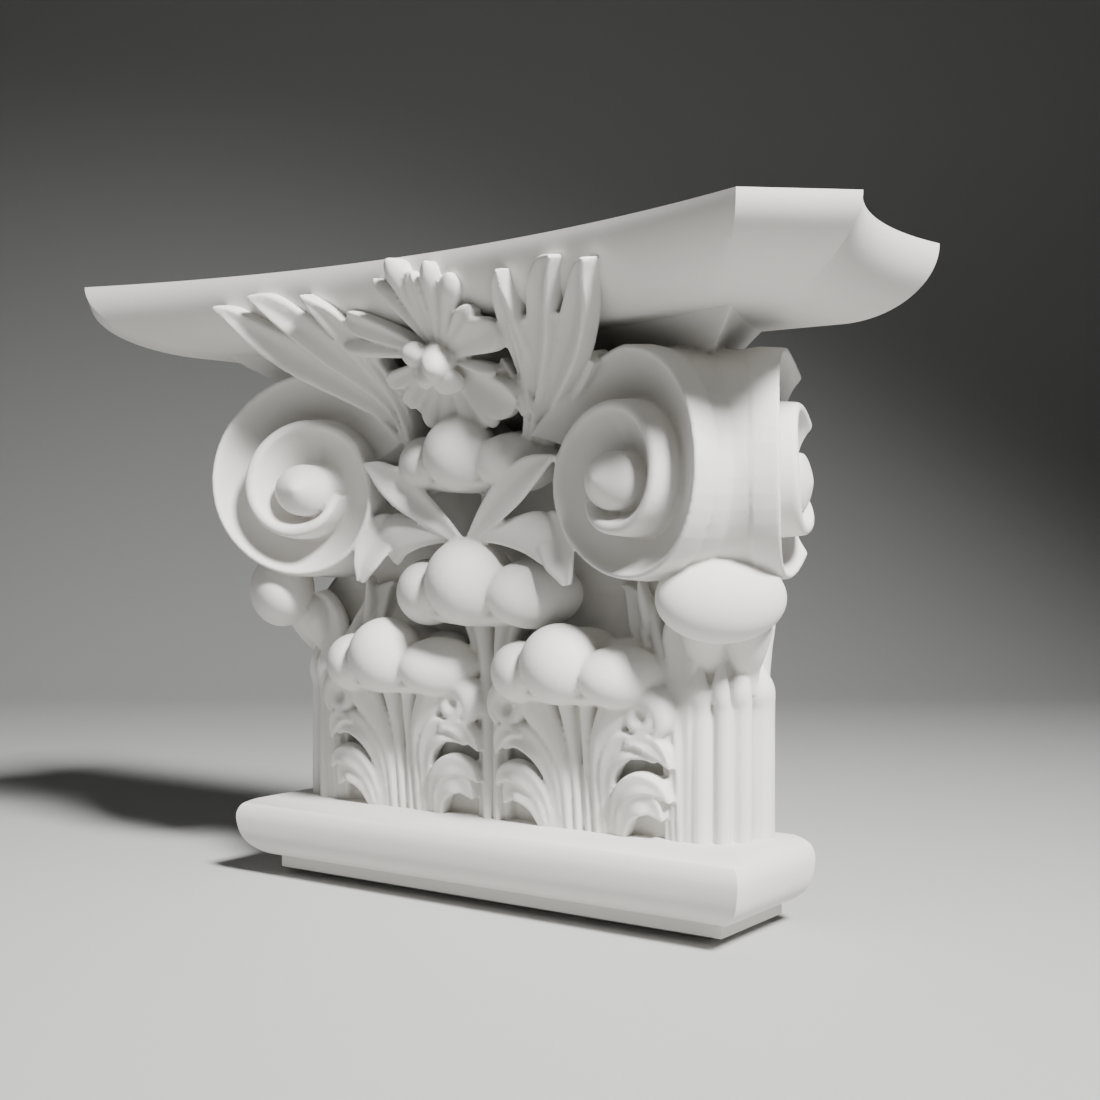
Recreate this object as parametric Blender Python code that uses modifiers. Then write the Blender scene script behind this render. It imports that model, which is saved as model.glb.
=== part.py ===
"""Capital of a wall pilaster, cast in plaster as one piece.

Metres, +Z up. The origin is in the middle of the underside of the box around the piece, and the
wall is on the +Y side. Points of the carving are written (x, out, z), where x runs along the
wall and out is the distance that a point stands out from it.
"""

import math

import bmesh
import bpy
from mathutils import Matrix, Vector

MM = 0.001

# Whole capital
CAPITAL_HEIGHT = 412 * MM
ABACUS_WIDTH = 600 * MM
ABACUS_PROJECTION = 193.5 * MM

# Abacus: a slab with hollowed sides, cut corners and a quarter-round face
ABACUS_THICKNESS = 42 * MM
ABACUS_LEAN = 60 * MM              # how far the quarter round draws in below the top edge
CORNER_CUT_WIDTH = 48.7 * MM       # of the cut across each front corner, along the wall
CORNER_CUT_DEPTH = 42.5 * MM       # of the same cut, out from the wall
CORNER_CUT_SLOPE = 1.7             # the cut draws in this many times as fast as the other faces
FRONT_HOLLOW = 42.5 * MM
SIDE_HOLLOW = 24 * MM
SIDE_HOLLOW_OUT = 50 * MM          # where the side is hollowed deepest

# Lip of the bell under the abacus, with pointed corners
LIP_CORNER_X = 207 * MM
LIP_CORNER_OUT = 111.5 * MM
LIP_HOLLOW = 50 * MM
LIP_HEIGHT = 22 * MM
LIP_SLOPE = 30 * MM

# Bed: two fillets and a bullnose that sit on the head of the shaft
BED_WIDTH = 358.5 * MM
BED_PROJECTION = 77.6 * MM
LOWER_FILLET_HEIGHT = 5 * MM
LOWER_FILLET_SETBACK = 12 * MM
UPPER_FILLET_HEIGHT = 8.4 * MM
BULLNOSE_HEIGHT = 42 * MM
BULLNOSE_OVERHANG = 22.9 * MM

# Bell, the block that carries the carving
BELL_WIDTH = 342 * MM
BELL_PROJECTION = 56 * MM
BELL_WAIST_WIDTH = 300 * MM
BELL_WAIST_PROJECTION = 46 * MM
BELL_SHOULDER_HEIGHT = 152 * MM    # above this its front draws in
BELL_SPREAD = 10 * MM              # it is this much wider beside the corner berries

# Volutes
EYE_X = 124.6 * MM
EYE_OUT = 111.8 * MM
EYE_HEIGHT = 273 * MM
EYE_WIDTH = 42 * MM
EYE_TALL = 34 * MM
EYE_DOME = 14 * MM
FACE_TURN = math.radians(15.4)     # each face looks in towards the middle by this angle
FACE_SETBACK = 8 * MM              # of the rim at its top, behind the middle of the eye
FACE_HOLLOW = 9 * MM               # the face is hollowed along the wall, like the abacus
VOLUTE_RADIUS = 80.8 * MM
RADIUS_SHARES = (1.0, 0.886, 0.714, 0.646, 0.593, 0.535, 0.39, 0.31, 0.28, 0.27, 0.26, 0.25)
EARLY_SHARES = (1.0, 0.925, 0.80, 0.68)      # of the band before its top, a quarter of a quarter apart
VOLUTE_QUARTERS = 7                # quarter turns from the top of the rim to the eye
FIRST_TURN_END = 3.9
INNER_RISE = 16 * MM               # how far the band comes forward on its way to the eye
RIM_WIDTH = 7 * MM
DISH_DEPTH = 17 * MM
BAND_FLARE = 2.5 * MM
FOOT_OVERLAP = 4 * MM              # between one turn of the band and the next, and the eye

# Heads of round berries over the leaves
LOW_HEAD_X = 71.5 * MM
LOW_HEAD_HEIGHT = 161.6 * MM
MIDDLE_HEAD_HEIGHT = 212 * MM
TOP_HEAD_HEIGHT = 294.5 * MM
HEAD_OUT = 87 * MM
TOP_HEAD_OUT = 95 * MM
LOW_BERRY = 26 * MM                # radius of the middle berry in each head
MIDDLE_BERRY = 29.5 * MM
TOP_BERRY = 25.4 * MM

# The big berry under each corner, an egg that lies across the diagonal
CORNER_BERRY_X = 179 * MM
CORNER_BERRY_OUT = 77.5 * MM
CORNER_BERRY_HEIGHT = 204 * MM
CORNER_BERRY_DEPTH = 23 * MM       # half sizes
CORNER_BERRY_REACH = 39.5 * MM
CORNER_BERRY_RISE = 26 * MM

# Leaves
LEAF_OUT = 62 * MM                 # of the ribs at their feet
RIB_WIDTH = 7 * MM
LOW_LEAF_X = 73 * MM
LOW_LEAF_WIDTH = 131 * MM
LOW_LEAF_HEIGHT = 104 * MM
LOW_LEAF_SWELL = 16 * MM
CORNER_LEAF_HEIGHT = 106 * MM
RIB_FLARE = 1.5 * MM               # of the corner leaf's ribs at their caps
STALK_WIDTH = 20 * MM
STALK_SETBACK = 5 * MM             # of the outer strands, for each stalk's width from the middle
STALK_FLARE = 2.2                  # the strands' spread at the top, in shares of that at the foot
UPPER_LEAF_LENGTH = 71 * MM
UPPER_LEAF_WIDTH = 27 * MM
FAN_FOOT_X = 50 * MM
FAN_FOOT_DROP = 9 * MM             # of its foot, behind and above the top head's middle
FAN_SPREAD = 102 * MM              # from the foot of a fan to its far tip, along the wall
FAN_LOBE_WIDTH = 34 * MM

# Fleuron on the front of the abacus
FLEURON_RADIUS = 68 * MM
FLEURON_HEIGHT = 353 * MM
FLEURON_OUT = 117 * MM
FLEURON_LEAN = math.radians(33.7)  # it leans forward at its top
BUD_RADIUS = 19 * MM

# Fineness of the rounded forms
ARC_STEPS = 14
FACE_STEPS = 4                     # of the abacus, from its underside to its top
ROD_SIDES = 4
ROLL = 0.25                        # of the corners of a rod, in shares of a side
BALL_SIDES = 10
SMALL_BALL_SIDES = 7
BACK_BALL_SIDES = 6
EYE_SIDES = 9
STEPS_PER_QUARTER = 4              # in the first turn of a volute
INNER_STEPS_PER_QUARTER = 3

PLASTER_COLOUR = (0.78, 0.775, 0.765, 1.0)

FILLET_TOP = LOWER_FILLET_HEIGHT + UPPER_FILLET_HEIGHT
BED_TOP = FILLET_TOP + BULLNOSE_HEIGHT
ABACUS_UNDERSIDE = CAPITAL_HEIGHT - ABACUS_THICKNESS
WALL_Y = ABACUS_PROJECTION / 2
DIAGONAL = LIP_CORNER_X - LIP_CORNER_OUT    # x - out on the plane between two volutes
SINK = 6 * MM                               # how deep one form reaches into the next
SLIVER = 0.02 * MM                          # points nearer than this are one
FLAT_ANGLE = math.radians(9)                # faces nearer to one plane than this are merged
FORWARD = Vector((0, -1, 0))


# Places and curves

def at(x, out, z):
    """Return the point that lies x along the wall, out from it and z up."""
    return Vector((x, WALL_Y - out, z))


def crossing(function, low, high):
    """Return where a rising function passes zero, by halving."""
    for _ in range(40):
        middle = (low + high) / 2
        if function(middle) > 0:
            high = middle
        else:
            low = middle
    return (low + high) / 2


# Meshes

def loft(rings):
    """Skin rings of equal count into a closed mesh, with flat ends."""
    mesh = bmesh.new()
    rows = [[mesh.verts.new(point) for point in ring] for ring in rings]
    count = len(rows[0])
    for lower, upper in zip(rows, rows[1:]):
        for i in range(count):
            j = (i + 1) % count
            mesh.faces.new((lower[i], lower[j], upper[j], upper[i]))
    mesh.faces.new(rows[0])
    mesh.faces.new(rows[-1])
    return mesh


def make_object(name, mesh, collection):
    """Turn a mesh into an object with its faces pointing out."""
    bmesh.ops.recalc_face_normals(mesh, faces=mesh.faces)
    data = bpy.data.meshes.new(name)
    mesh.to_mesh(data)
    mesh.free()
    thing = bpy.data.objects.new(name, data)
    collection.objects.link(thing)
    return thing


class Carving:
    """The closed forms that the capital is joined from."""

    def __init__(self, collection):
        self.collection = collection

    def keep(self, name, mesh, paired=False):
        """Store a form, and give it a twin on the other side of the middle if it is paired."""
        form = make_object(name, mesh, self.collection)
        form.hide_render = True
        form.display_type = "WIRE"
        if paired:
            twin = form.modifiers.new("Twin", "MIRROR")
            twin.use_mirror_merge = False
            twin.merge_threshold = 0.0001

    def rod(self, name, points, widths, flatness=0.8, face=FORWARD, paired=True, sides=ROD_SIDES):
        """Add a tapered, bent rod with an oval section.

        points are (x, out, z) along its middle, widths its full width at each of them, and
        flatness is the share of the width that it measures towards face.
        """
        places = [at(*point) for point in points]
        turns = [2 * math.pi * (k + ROLL) / sides for k in range(sides)]
        rings = []
        for i, (place, width) in enumerate(zip(places, widths)):
            along = (places[min(i + 1, len(places) - 1)] - places[max(i - 1, 0)]).normalized()
            side = along.cross(face).normalized()
            front = side.cross(along)
            rings.append([place + (side * math.cos(turn) + front * flatness * math.sin(turn)) * width / 2
                          for turn in turns])
        self.keep(name, loft(rings), paired)

    def ball(self, name, centre, radii, paired=True, turned=Matrix(), sides=BALL_SIDES):
        """Add a ball or egg at (x, out, z) with its half sizes along x, y and z."""
        mesh = bmesh.new()
        placing = Matrix.Translation(at(*centre)) @ turned @ Matrix.Diagonal((*radii, 1.0))
        bmesh.ops.create_uvsphere(mesh, u_segments=sides, v_segments=sides * 2 // 3, radius=1.0,
                                  matrix=placing)
        self.keep(name, mesh, paired)


# The block

def rectangle(half_width, projection, z):
    """Return the corners of a plan with its back in the wall."""
    return [at(half_width, -SINK, z), at(-half_width, -SINK, z),
            at(-half_width, projection, z), at(half_width, projection, z)]


def add_bed(carving):
    """Add the fillets and the bullnose, mitred round the front corners."""
    levels = [(-LOWER_FILLET_SETBACK - 3 * MM, 0), (-LOWER_FILLET_SETBACK, LOWER_FILLET_HEIGHT),
              (0, LOWER_FILLET_HEIGHT), (0, FILLET_TOP)]
    # Shares of the overhang and of the height; the nose draws in below to meet the fillet
    nose = ((0.55, 0.10), (0.80, 0.24), (0.95, 0.42), (1.0, 0.63), (0.93, 0.83), (0.75, 0.94), (0.45, 1.0))
    levels += [(BULLNOSE_OVERHANG * out, FILLET_TOP + BULLNOSE_HEIGHT * up) for out, up in nose]
    carving.keep("Bed", loft([rectangle(BED_WIDTH / 2 + more, BED_PROJECTION + more, z)
                              for more, z in levels]))


def bell_block():
    """Return the block behind the carving, which spreads below the volutes and draws in above."""
    levels = ((BED_TOP - SINK, BELL_WIDTH, BELL_PROJECTION),
              (BELL_SHOULDER_HEIGHT, BELL_WIDTH, BELL_PROJECTION),
              (CORNER_BERRY_HEIGHT, BELL_WIDTH + BELL_SPREAD, BELL_WAIST_PROJECTION),
              (CORNER_BERRY_HEIGHT + CORNER_BERRY_RISE, BELL_WAIST_WIDTH, BELL_WAIST_PROJECTION),
              (ABACUS_UNDERSIDE + SINK, BELL_WAIST_WIDTH, BELL_WAIST_PROJECTION))
    return loft([rectangle(width / 2, projection, z) for z, width, projection in levels])


def abacus_plan(lean, z):
    """Return the plan of the abacus, drawn in by lean, from the wall round the right corner."""
    corner_x = ABACUS_WIDTH / 2 - CORNER_CUT_WIDTH
    front_radius = (corner_x ** 2 + FRONT_HOLLOW ** 2) / (2 * FRONT_HOLLOW) + lean
    front_middle = ABACUS_PROJECTION - FRONT_HOLLOW - lean
    side_reach = ABACUS_PROJECTION - CORNER_CUT_DEPTH - SIDE_HOLLOW_OUT
    side_radius = (side_reach ** 2 + SIDE_HOLLOW ** 2) / (2 * SIDE_HOLLOW) + lean
    side_middle = ABACUS_WIDTH / 2 - SIDE_HOLLOW - lean
    cut_length = math.hypot(CORNER_CUT_WIDTH, CORNER_CUT_DEPTH)
    across, forward = CORNER_CUT_DEPTH / cut_length, CORNER_CUT_WIDTH / cut_length
    reach = across * corner_x + forward * ABACUS_PROJECTION - CORNER_CUT_SLOPE * lean

    def side_x(out):
        return side_middle + side_radius - math.sqrt(side_radius ** 2 - (out - SIDE_HOLLOW_OUT) ** 2)

    def front_out(x):
        return front_middle + front_radius - math.sqrt(front_radius ** 2 - x ** 2)

    side_end = crossing(lambda out: across * side_x(out) + forward * out - reach, 0, ABACUS_PROJECTION)
    front_end = crossing(lambda x: across * x + forward * front_out(x) - reach, 0, ABACUS_WIDTH / 2)
    side_steps = ARC_STEPS // 4
    side_outs = [side_end * k / side_steps - SINK * (k == 0) for k in range(side_steps + 1)]
    front_xs = [front_end * (1 - 2 * k / ARC_STEPS) for k in range(ARC_STEPS + 1)]
    return ([at(side_x(out), out, z) for out in side_outs]
            + [at(x, front_out(x), z) for x in front_xs]
            + [at(-side_x(out), out, z) for out in reversed(side_outs)])


def abacus_levels():
    """Return how far the abacus draws in and its height, from its underside to its top."""
    turns = [math.pi / 2 * step / FACE_STEPS for step in range(FACE_STEPS + 1)]
    return [(ABACUS_LEAN * (1 - math.sin(turn)), CAPITAL_HEIGHT - ABACUS_THICKNESS * math.cos(turn))
            for turn in turns]


def add_abacus(carving):
    """Add the slab on top, its face a quarter round that ends in a flat underside."""
    carving.keep("Abacus", loft([abacus_plan(lean, z) for lean, z in abacus_levels()]))


def add_lip(carving):
    """Add the lip of the bell, whose plan is hollowed between pointed corners."""
    front_steps, side_steps = 5, 3
    rings = []
    for share in (0.0, 0.45, 1.0):
        corner_x = LIP_CORNER_X - LIP_SLOPE * (1 - share)
        corner_out = LIP_CORNER_OUT - LIP_SLOPE * (1 - share)
        z = ABACUS_UNDERSIDE + 2 * MM - LIP_HEIGHT * (1 - share)

        def hollow(reach):
            return LIP_HOLLOW * (1 - (reach / corner_x) ** 2)

        front = [(corner_x * k / front_steps, corner_out - hollow(corner_x * k / front_steps))
                 for k in range(front_steps, -front_steps - 1, -1)]
        side_outs = [corner_out * k / side_steps - SINK * (k == 0) for k in range(side_steps)]
        side = [(corner_x - hollow(corner_x - corner_out + out), out) for out in side_outs]
        plan = side + front + [(-x, out) for x, out in reversed(side)]
        rings.append([at(x, out, z) for x, out in plan])
    carving.keep("Lip", loft(rings))


# Volutes

def band_radius(quarters):
    """Return the outer radius of the spiral band after so many quarter turns from its top."""
    shares, place = (RADIUS_SHARES, quarters) if quarters >= 0 else (EARLY_SHARES, -4 * quarters)
    first = min(int(place), len(shares) - 2)
    share = place - first
    share = share * share * (3 - 2 * share) * 0.3 + share * 0.7
    return VOLUTE_RADIUS * (shares[first] * (1 - share) + shares[first + 1] * share)


def rim_height(quarters, reach):
    """Return how far the rim stands forward of the eye's middle, reach along the wall from it."""
    rise = INNER_RISE * max(quarters - 1, 0) / (VOLUTE_QUARTERS - 1)
    return FACE_HOLLOW * (reach / band_radius(1)) ** 2 - FACE_SETBACK + rise


def on_face(reach, forward, up, on_side):
    """Return (x, out, z) of a point given along, in front of and up from a volute's eye."""
    x = EYE_X + reach * math.cos(FACE_TURN) - forward * math.sin(FACE_TURN)
    out = EYE_OUT + reach * math.sin(FACE_TURN) + forward * math.cos(FACE_TURN)
    if on_side:
        x, out = out + DIAGONAL, x - DIAGONAL
    return x, out, EYE_HEIGHT + up


def band_back(reach):
    """Return how far forward of the eye the band ends, just past the plane between two volutes."""
    turn_sum = math.cos(FACE_TURN) + math.sin(FACE_TURN)
    turn_difference = math.cos(FACE_TURN) - math.sin(FACE_TURN)
    return (EYE_X - EYE_OUT - DIAGONAL + reach * turn_difference) / turn_sum - SINK


def band_ring(quarters, on_side, inset=0.0):
    """Return the outline of the band across its length, from its back over the rim to the dish.

    The outline is drawn in by inset.
    """
    angle = quarters * math.pi / 2
    outer = band_radius(quarters) - inset
    if quarters < FIRST_TURN_END:
        foot = band_radius(quarters + 4) - FOOT_OVERLAP
    else:
        foot = EYE_TALL / 2 - FOOT_OVERLAP
    rim = min(RIM_WIDTH, 0.4 * (outer - foot))
    top = rim_height(quarters, outer * math.sin(angle)) - inset
    floor = top - DISH_DEPTH
    profile = ((outer - BAND_FLARE, floor), (outer, top - rim / 2), (outer - rim / 2, top),
               (outer - rim, top - rim / 2), ((outer - rim + foot) / 2, top - 0.8 * DISH_DEPTH),
               (foot, floor), (foot, None), (outer + BAND_FLARE, None))
    ring = []
    for radius, forward in profile:
        reach = radius * math.sin(angle)
        if forward is None:
            forward = band_back(reach) + inset
        ring.append(at(*on_face(reach, forward, radius * math.cos(angle), on_side)))
    return ring


def add_volute(carving, name, on_side):
    """Add the two turns of a spiral band and its eye.

    The second turn starts drawn in, inside the end of the first.
    """
    first = [step / STEPS_PER_QUARTER for step in range(1 - STEPS_PER_QUARTER, 4 * STEPS_PER_QUARTER)]
    first.append(FIRST_TURN_END - 0.01)
    inner_steps = (VOLUTE_QUARTERS - 4) * INNER_STEPS_PER_QUARTER
    second = [4 + step / INNER_STEPS_PER_QUARTER for step in range(inner_steps + 1)]
    carving.keep(f"{name} first turn", loft([band_ring(quarters, on_side) for quarters in first]), True)
    carving.keep(f"{name} second turn", loft([band_ring(FIRST_TURN_END, on_side, RIM_WIDTH / 4)]
                                             + [band_ring(quarters, on_side) for quarters in second]), True)
    add_eye(carving, name, on_side)


def add_eye(carving, name, on_side):
    """Add the round eye of a volute, a dome on a core that fills the last turn."""
    rings = []
    slices = 4
    levels = [(1.0, None), (1.0, 0.0)]
    levels += [(math.cos(turn), EYE_DOME * math.sin(turn))
               for turn in (math.pi / 2 * k / slices for k in range(1, slices))]
    turns = [2 * math.pi * (k + 0.5) / EYE_SIDES for k in range(EYE_SIDES)]
    for share, forward in levels:
        reaches = [EYE_WIDTH / 2 * share * math.sin(turn) for turn in turns]
        rings.append([at(*on_face(reach, band_back(0) - SINK if forward is None else forward,
                                  EYE_TALL / 2 * share * math.cos(turn), on_side))
                      for reach, turn in zip(reaches, turns)])
    carving.keep(f"{name} eye", loft(rings), True)


# Berries

def add_head(carving, name, centre, berry, paired):
    """Add a head of three berries with smaller ones that run back to the bell."""
    x, out, z = centre
    carving.ball(f"{name} middle berry", centre, (berry, berry, berry), paired)
    carving.ball(f"{name} stem", (x, out - 1.1 * berry, z), (berry, berry, 0.9 * berry), paired,
                 sides=BACK_BALL_SIDES)
    carving.ball(f"{name} underside", (x, out - 0.5 * berry, z - 0.72 * berry),
                 (1.75 * berry, 0.95 * berry, 0.3 * berry), paired, sides=SMALL_BALL_SIDES)
    for side, sign in (("inner", -1), ("outer", 1)):
        small = 0.71 * berry
        carving.ball(f"{name} {side} berry", (x + sign * 1.25 * berry, out - 0.05 * berry, z - 0.25 * berry),
                     (small, small, small), paired, sides=SMALL_BALL_SIDES)
        back = (x + sign * 1.6 * berry, out - 0.7 * berry, z - 0.15 * berry)
        carving.ball(f"{name} {side} back berry", back, (small, small, small), paired, sides=BACK_BALL_SIDES)


def add_heads(carving):
    """Add the four heads and the big berry under each corner."""
    add_head(carving, "Low head", (LOW_HEAD_X, HEAD_OUT, LOW_HEAD_HEIGHT), LOW_BERRY, True)
    add_head(carving, "Middle head", (0, HEAD_OUT, MIDDLE_HEAD_HEIGHT), MIDDLE_BERRY, False)
    add_head(carving, "Top head", (0, TOP_HEAD_OUT, TOP_HEAD_HEIGHT), TOP_BERRY, False)
    carving.ball("Corner berry", (CORNER_BERRY_X, CORNER_BERRY_OUT, CORNER_BERRY_HEIGHT),
                 (CORNER_BERRY_DEPTH, CORNER_BERRY_REACH, CORNER_BERRY_RISE),
                 turned=Matrix.Rotation(-math.pi / 4, 4, "Z"))


# Leaves

# The sheet of a low leaf: share of its rise, width and distance of its middle from the wall
LOW_LEAF_SHEET = ((-0.06, 50 * MM, 53 * MM), (0.2, 66 * MM, 55 * MM), (0.45, 94 * MM, 60 * MM),
                  (0.75, 88 * MM, 65 * MM), (0.97, 66 * MM, 66 * MM))
# Ribs and lobes of half a low leaf: shares (side, swell, rise) and widths in ribs
LOW_LEAF_HALF = (
    (((0.05, 0.0, -0.06), (0.07, 0.25, 0.45), (0.12, 0.7, 0.95)), (1.0, 1.4, 2.0)),
    (((0.16, 0.0, -0.06), (0.19, 0.25, 0.35), (0.30, 0.7, 0.68), (0.42, 0.85, 0.90)), (1.0, 1.5, 2.2, 2.4)),
    (((0.27, 0.0, -0.06), (0.31, 0.25, 0.30), (0.45, 0.75, 0.55), (0.84, 0.9, 0.82)), (1.0, 1.5, 2.2, 1.9)),
    (((0.38, 0.0, -0.06), (0.42, 0.25, 0.22), (0.55, 0.6, 0.38), (0.78, 0.6, 0.46), (1.0, 0.1, 0.42)),
     (1.1, 1.6, 2.3, 2.6, 0.5)),
    (((0.46, 0.2, 0.05), (0.58, 0.45, 0.22), (0.80, 0.45, 0.27), (1.0, 0.1, 0.22)), (1.2, 2.0, 2.2, 0.5)),
    (((0.46, 0.1, 0.02), (0.62, 0.35, 0.14), (0.91, 0.05, 0.13)), (1.0, 1.7, 0.5)),
    (((0.62, 0.7, 0.50), (0.80, 0.6, 0.55), (1.0, 0.2, 0.46)), (1.6, 1.9, 0.5)),
    (((0.72, 0.95, 0.86), (0.90, 0.9, 0.77), (0.80, 0.7, 0.62)), (1.9, 2.0, 1.0)),
)


def add_low_leaf(carving):
    """Add the acanthus leaf under each low head, its halves alike about its own middle."""
    carving.rod("Low leaf sheet", [(LOW_LEAF_X, out, BED_TOP + rise * LOW_LEAF_HEIGHT)
                                   for rise, _, out in LOW_LEAF_SHEET],
                [width for _, width, _ in LOW_LEAF_SHEET], flatness=0.12)
    for half, sign in (("inner", -1), ("outer", 1)):
        for index, (path, widths) in enumerate(LOW_LEAF_HALF):
            points = [(LOW_LEAF_X + sign * side * LOW_LEAF_WIDTH / 2, LEAF_OUT + swell * LOW_LEAF_SWELL,
                       BED_TOP + rise * LOW_LEAF_HEIGHT) for side, swell, rise in path]
            carving.rod(f"Low leaf {half} {index + 1}", points, [width * RIB_WIDTH for width in widths])


def add_stalk(carving):
    """Add the stalk of the middle head, three strands that spread at the top."""
    top = MIDDLE_HEAD_HEIGHT - 0.6 * MIDDLE_BERRY
    middle = (BED_TOP + top) / 2
    for name, share in (("left", -0.3), ("middle", 0.0), ("right", 0.3)):
        x = share * STALK_WIDTH
        out = LEAF_OUT - abs(share) * STALK_SETBACK
        carving.rod(f"Stalk {name} strand",
                    ((x, out, BED_TOP - SINK), (x, out, middle), (STALK_FLARE * x, out, top)),
                    (0.42 * STALK_WIDTH, 0.45 * STALK_WIDTH, 0.75 * STALK_WIDTH), paired=False)


# Ribs of a corner leaf: x and out from the corner of the bell, and width
CORNER_RIBS = (("front", -16 * MM, 1 * MM, 13 * MM), ("corner", -5 * MM, -2.5 * MM, 9.5 * MM),
               ("near side", 1 * MM, -14 * MM, 13 * MM), ("far side", 2 * MM, -35 * MM, 20 * MM))
# Blades beside the ribs, in millimetres: x and out from the corner of the bell, height and width
CORNER_SHOULDER = ((-27.4, 1.3, 50, 9), (-28.2, 2.6, 112, 13), (-26, 6, 155, 27), (-19, 12, 190, 40),
                   (-11, 14, 212, 44))
CORNER_BLADES = (
    ((-30, 4, 51, 7), (-32.5, 9.3, 110, 8), (-42, 10, 145, 9), (-70, 10, 196, 5)),
    ((-24, 4, 50, 6), (-27, 10, 122, 8), (-35.5, 11, 147, 9), (-51, 12, 209, 3)),
    ((-38, 1, 50, 6), (-41, 6, 130, 7), (-65, 8, 174, 8), (-75, 6, 184, 4)),
)
# Neck under a corner berry, in millimetres: x, out and up from the berry's middle, and width
CORNER_NECK = ((-18, -24, -59, 17), (-14, -18, -37, 19), (-4, -4, -12, 34), (-6, -6, 0, 38))


def add_corner_blade(carving, name, path, flatness):
    """Add a flat rod along a path that is given from the front corner of the bell."""
    points = [(BELL_WIDTH / 2 + x * MM, BELL_PROJECTION + out * MM, z * MM) for x, out, z, _ in path]
    carving.rod(name, points, [width * MM for *_, width in path], flatness=flatness)


def add_corner_leaf(carving):
    """Add the ribs that wrap each front corner, the neck under the berry and the blades beside them."""
    top = BED_TOP + CORNER_LEAF_HEIGHT
    for name, x, out, width in CORNER_RIBS:
        x, out = BELL_WIDTH / 2 + x, BELL_PROJECTION + out
        carving.rod(f"Corner leaf {name} rib",
                    ((x, out, BED_TOP - SINK), (x, out, BED_TOP + 0.5 * CORNER_LEAF_HEIGHT),
                     (x + RIB_FLARE, out + RIB_FLARE, BED_TOP + 0.87 * CORNER_LEAF_HEIGHT),
                     (x + RIB_FLARE, out - RIB_FLARE, top)),
                    (width, 1.05 * width, 1.25 * width, 0.7 * width), flatness=0.9)
    add_corner_blade(carving, "Corner leaf shoulder", CORNER_SHOULDER, 0.5)
    for index, path in enumerate(CORNER_BLADES):
        add_corner_blade(carving, f"Corner leaf blade {index + 1}", path, 0.75)
    for name, along in (("wall", -1), ("front", 1)):
        reach = 0.25 * along * CORNER_BERRY_REACH
        points = [(CORNER_BERRY_X + reach + x * MM, CORNER_BERRY_OUT - reach + out * MM,
                   CORNER_BERRY_HEIGHT + up * MM) for x, out, up, _ in CORNER_NECK]
        carving.rod(f"Corner neck {name}", points, [width * MM for *_, width in CORNER_NECK],
                    flatness=1.0, sides=6)


# Leaves over the middle head: how thick they are for their width, then shares of a leaf's length
# along the wall and up, millimetres out from the head, and shares of a leaf's width
UPPER_LEAVES = (
    ("Raised leaf", 0.42, ((0.0, 0.0, 0, 0.35), (0.27, 0.22, 4, 0.7), (0.58, 0.43, 8, 1.0),
                           (1.01, 0.67, 10, 0.15))),
    ("Raised fold", 0.5, ((0.02, 0.02, 0, 0.3), (0.21, 0.28, 2, 0.5), (0.47, 0.52, 3, 0.55),
                          (0.67, 0.67, 5, 0.25))),
    ("Drooping leaf", 0.34, ((0.01, -0.04, -2, 0.3), (0.3, 0.02, 0, 0.5), (0.59, 0.03, 0, 0.95),
                             (0.97, 0.07, -6, 1.0))),
    ("Leaf flap", 0.4, ((0.82, 0.18, -4, 0.8), (0.99, 0.08, 0, 1.0), (1.09, -0.13, 4, 0.9),
                        (1.13, -0.42, 6, 0.2))),
)


def add_upper_leaves(carving):
    """Add the leaves that spring from the top of the middle head, folded over at their ends."""
    x, out, z = 5 * MM, HEAD_OUT + 5 * MM, MIDDLE_HEAD_HEIGHT + MIDDLE_BERRY
    for name, flatness, path in UPPER_LEAVES:
        points = [(x + along * UPPER_LEAF_LENGTH, out + ahead * MM, z + up * UPPER_LEAF_LENGTH)
                  for along, up, ahead, _ in path]
        carving.rod(name, points, [width * UPPER_LEAF_WIDTH for *_, width in path], flatness=flatness)


def edge_out(x):
    """Return how far out the top edge of the abacus front is at x."""
    corner_x = ABACUS_WIDTH / 2 - CORNER_CUT_WIDTH
    return ABACUS_PROJECTION - FRONT_HOLLOW * (1 - (x / corner_x) ** 2)


# Course of a fan's lobe: shares of its run along the wall, out and up, and of its width
FAN_COURSE = ((0.0, 0.0, 0.0, 0.24), (0.14, 0.10, 0.29, 0.45), (0.36, 0.35, 0.55, 0.8),
              (0.64, 0.65, 0.76, 1.0), (0.86, 0.87, 0.91, 0.87), (1.0, 1.0, 1.0, 0.3))


def add_fan(carving):
    """Add the leaf that rises beside the fleuron and spreads in three lobes on the abacus."""
    foot_out, foot_z = TOP_HEAD_OUT - FAN_FOOT_DROP, TOP_HEAD_HEIGHT + FAN_FOOT_DROP
    climb = CAPITAL_HEIGHT - 0.38 * ABACUS_THICKNESS - foot_z
    for index, (share, breadth) in enumerate(((0.3, 0.75), (0.7, 1.0), (1.0, 1.0))):
        spread = FAN_SPREAD * share
        reach = edge_out(FAN_FOOT_X + spread) - foot_out
        carving.rod(f"Fan lobe {index + 1}",
                    [(FAN_FOOT_X + spread * along, foot_out + reach * out, foot_z + climb * up)
                     for along, out, up, _ in FAN_COURSE],
                    [breadth * FAN_LOBE_WIDTH * width for *_, width in FAN_COURSE], flatness=0.45)


# Petals of the fleuron: degrees from the top, length in radii, width in millimetres
PETALS = ((-4, 1.04, 20), (-21, 0.94, 11), (7, 0.88, 13), (19, 1.0, 17), (33, 0.97, 20), (50, 0.80, 17),
          (67, 0.80, 28), (102, 0.66, 8), (127, 0.80, 32), (150, 0.72, 19), (171, 0.64, 18), (-169, 0.64, 18),
          (-149, 0.68, 17), (-122, 0.70, 12), (-95, 0.74, 15), (-62, 1.03, 19), (-43, 0.92, 22))


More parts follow.
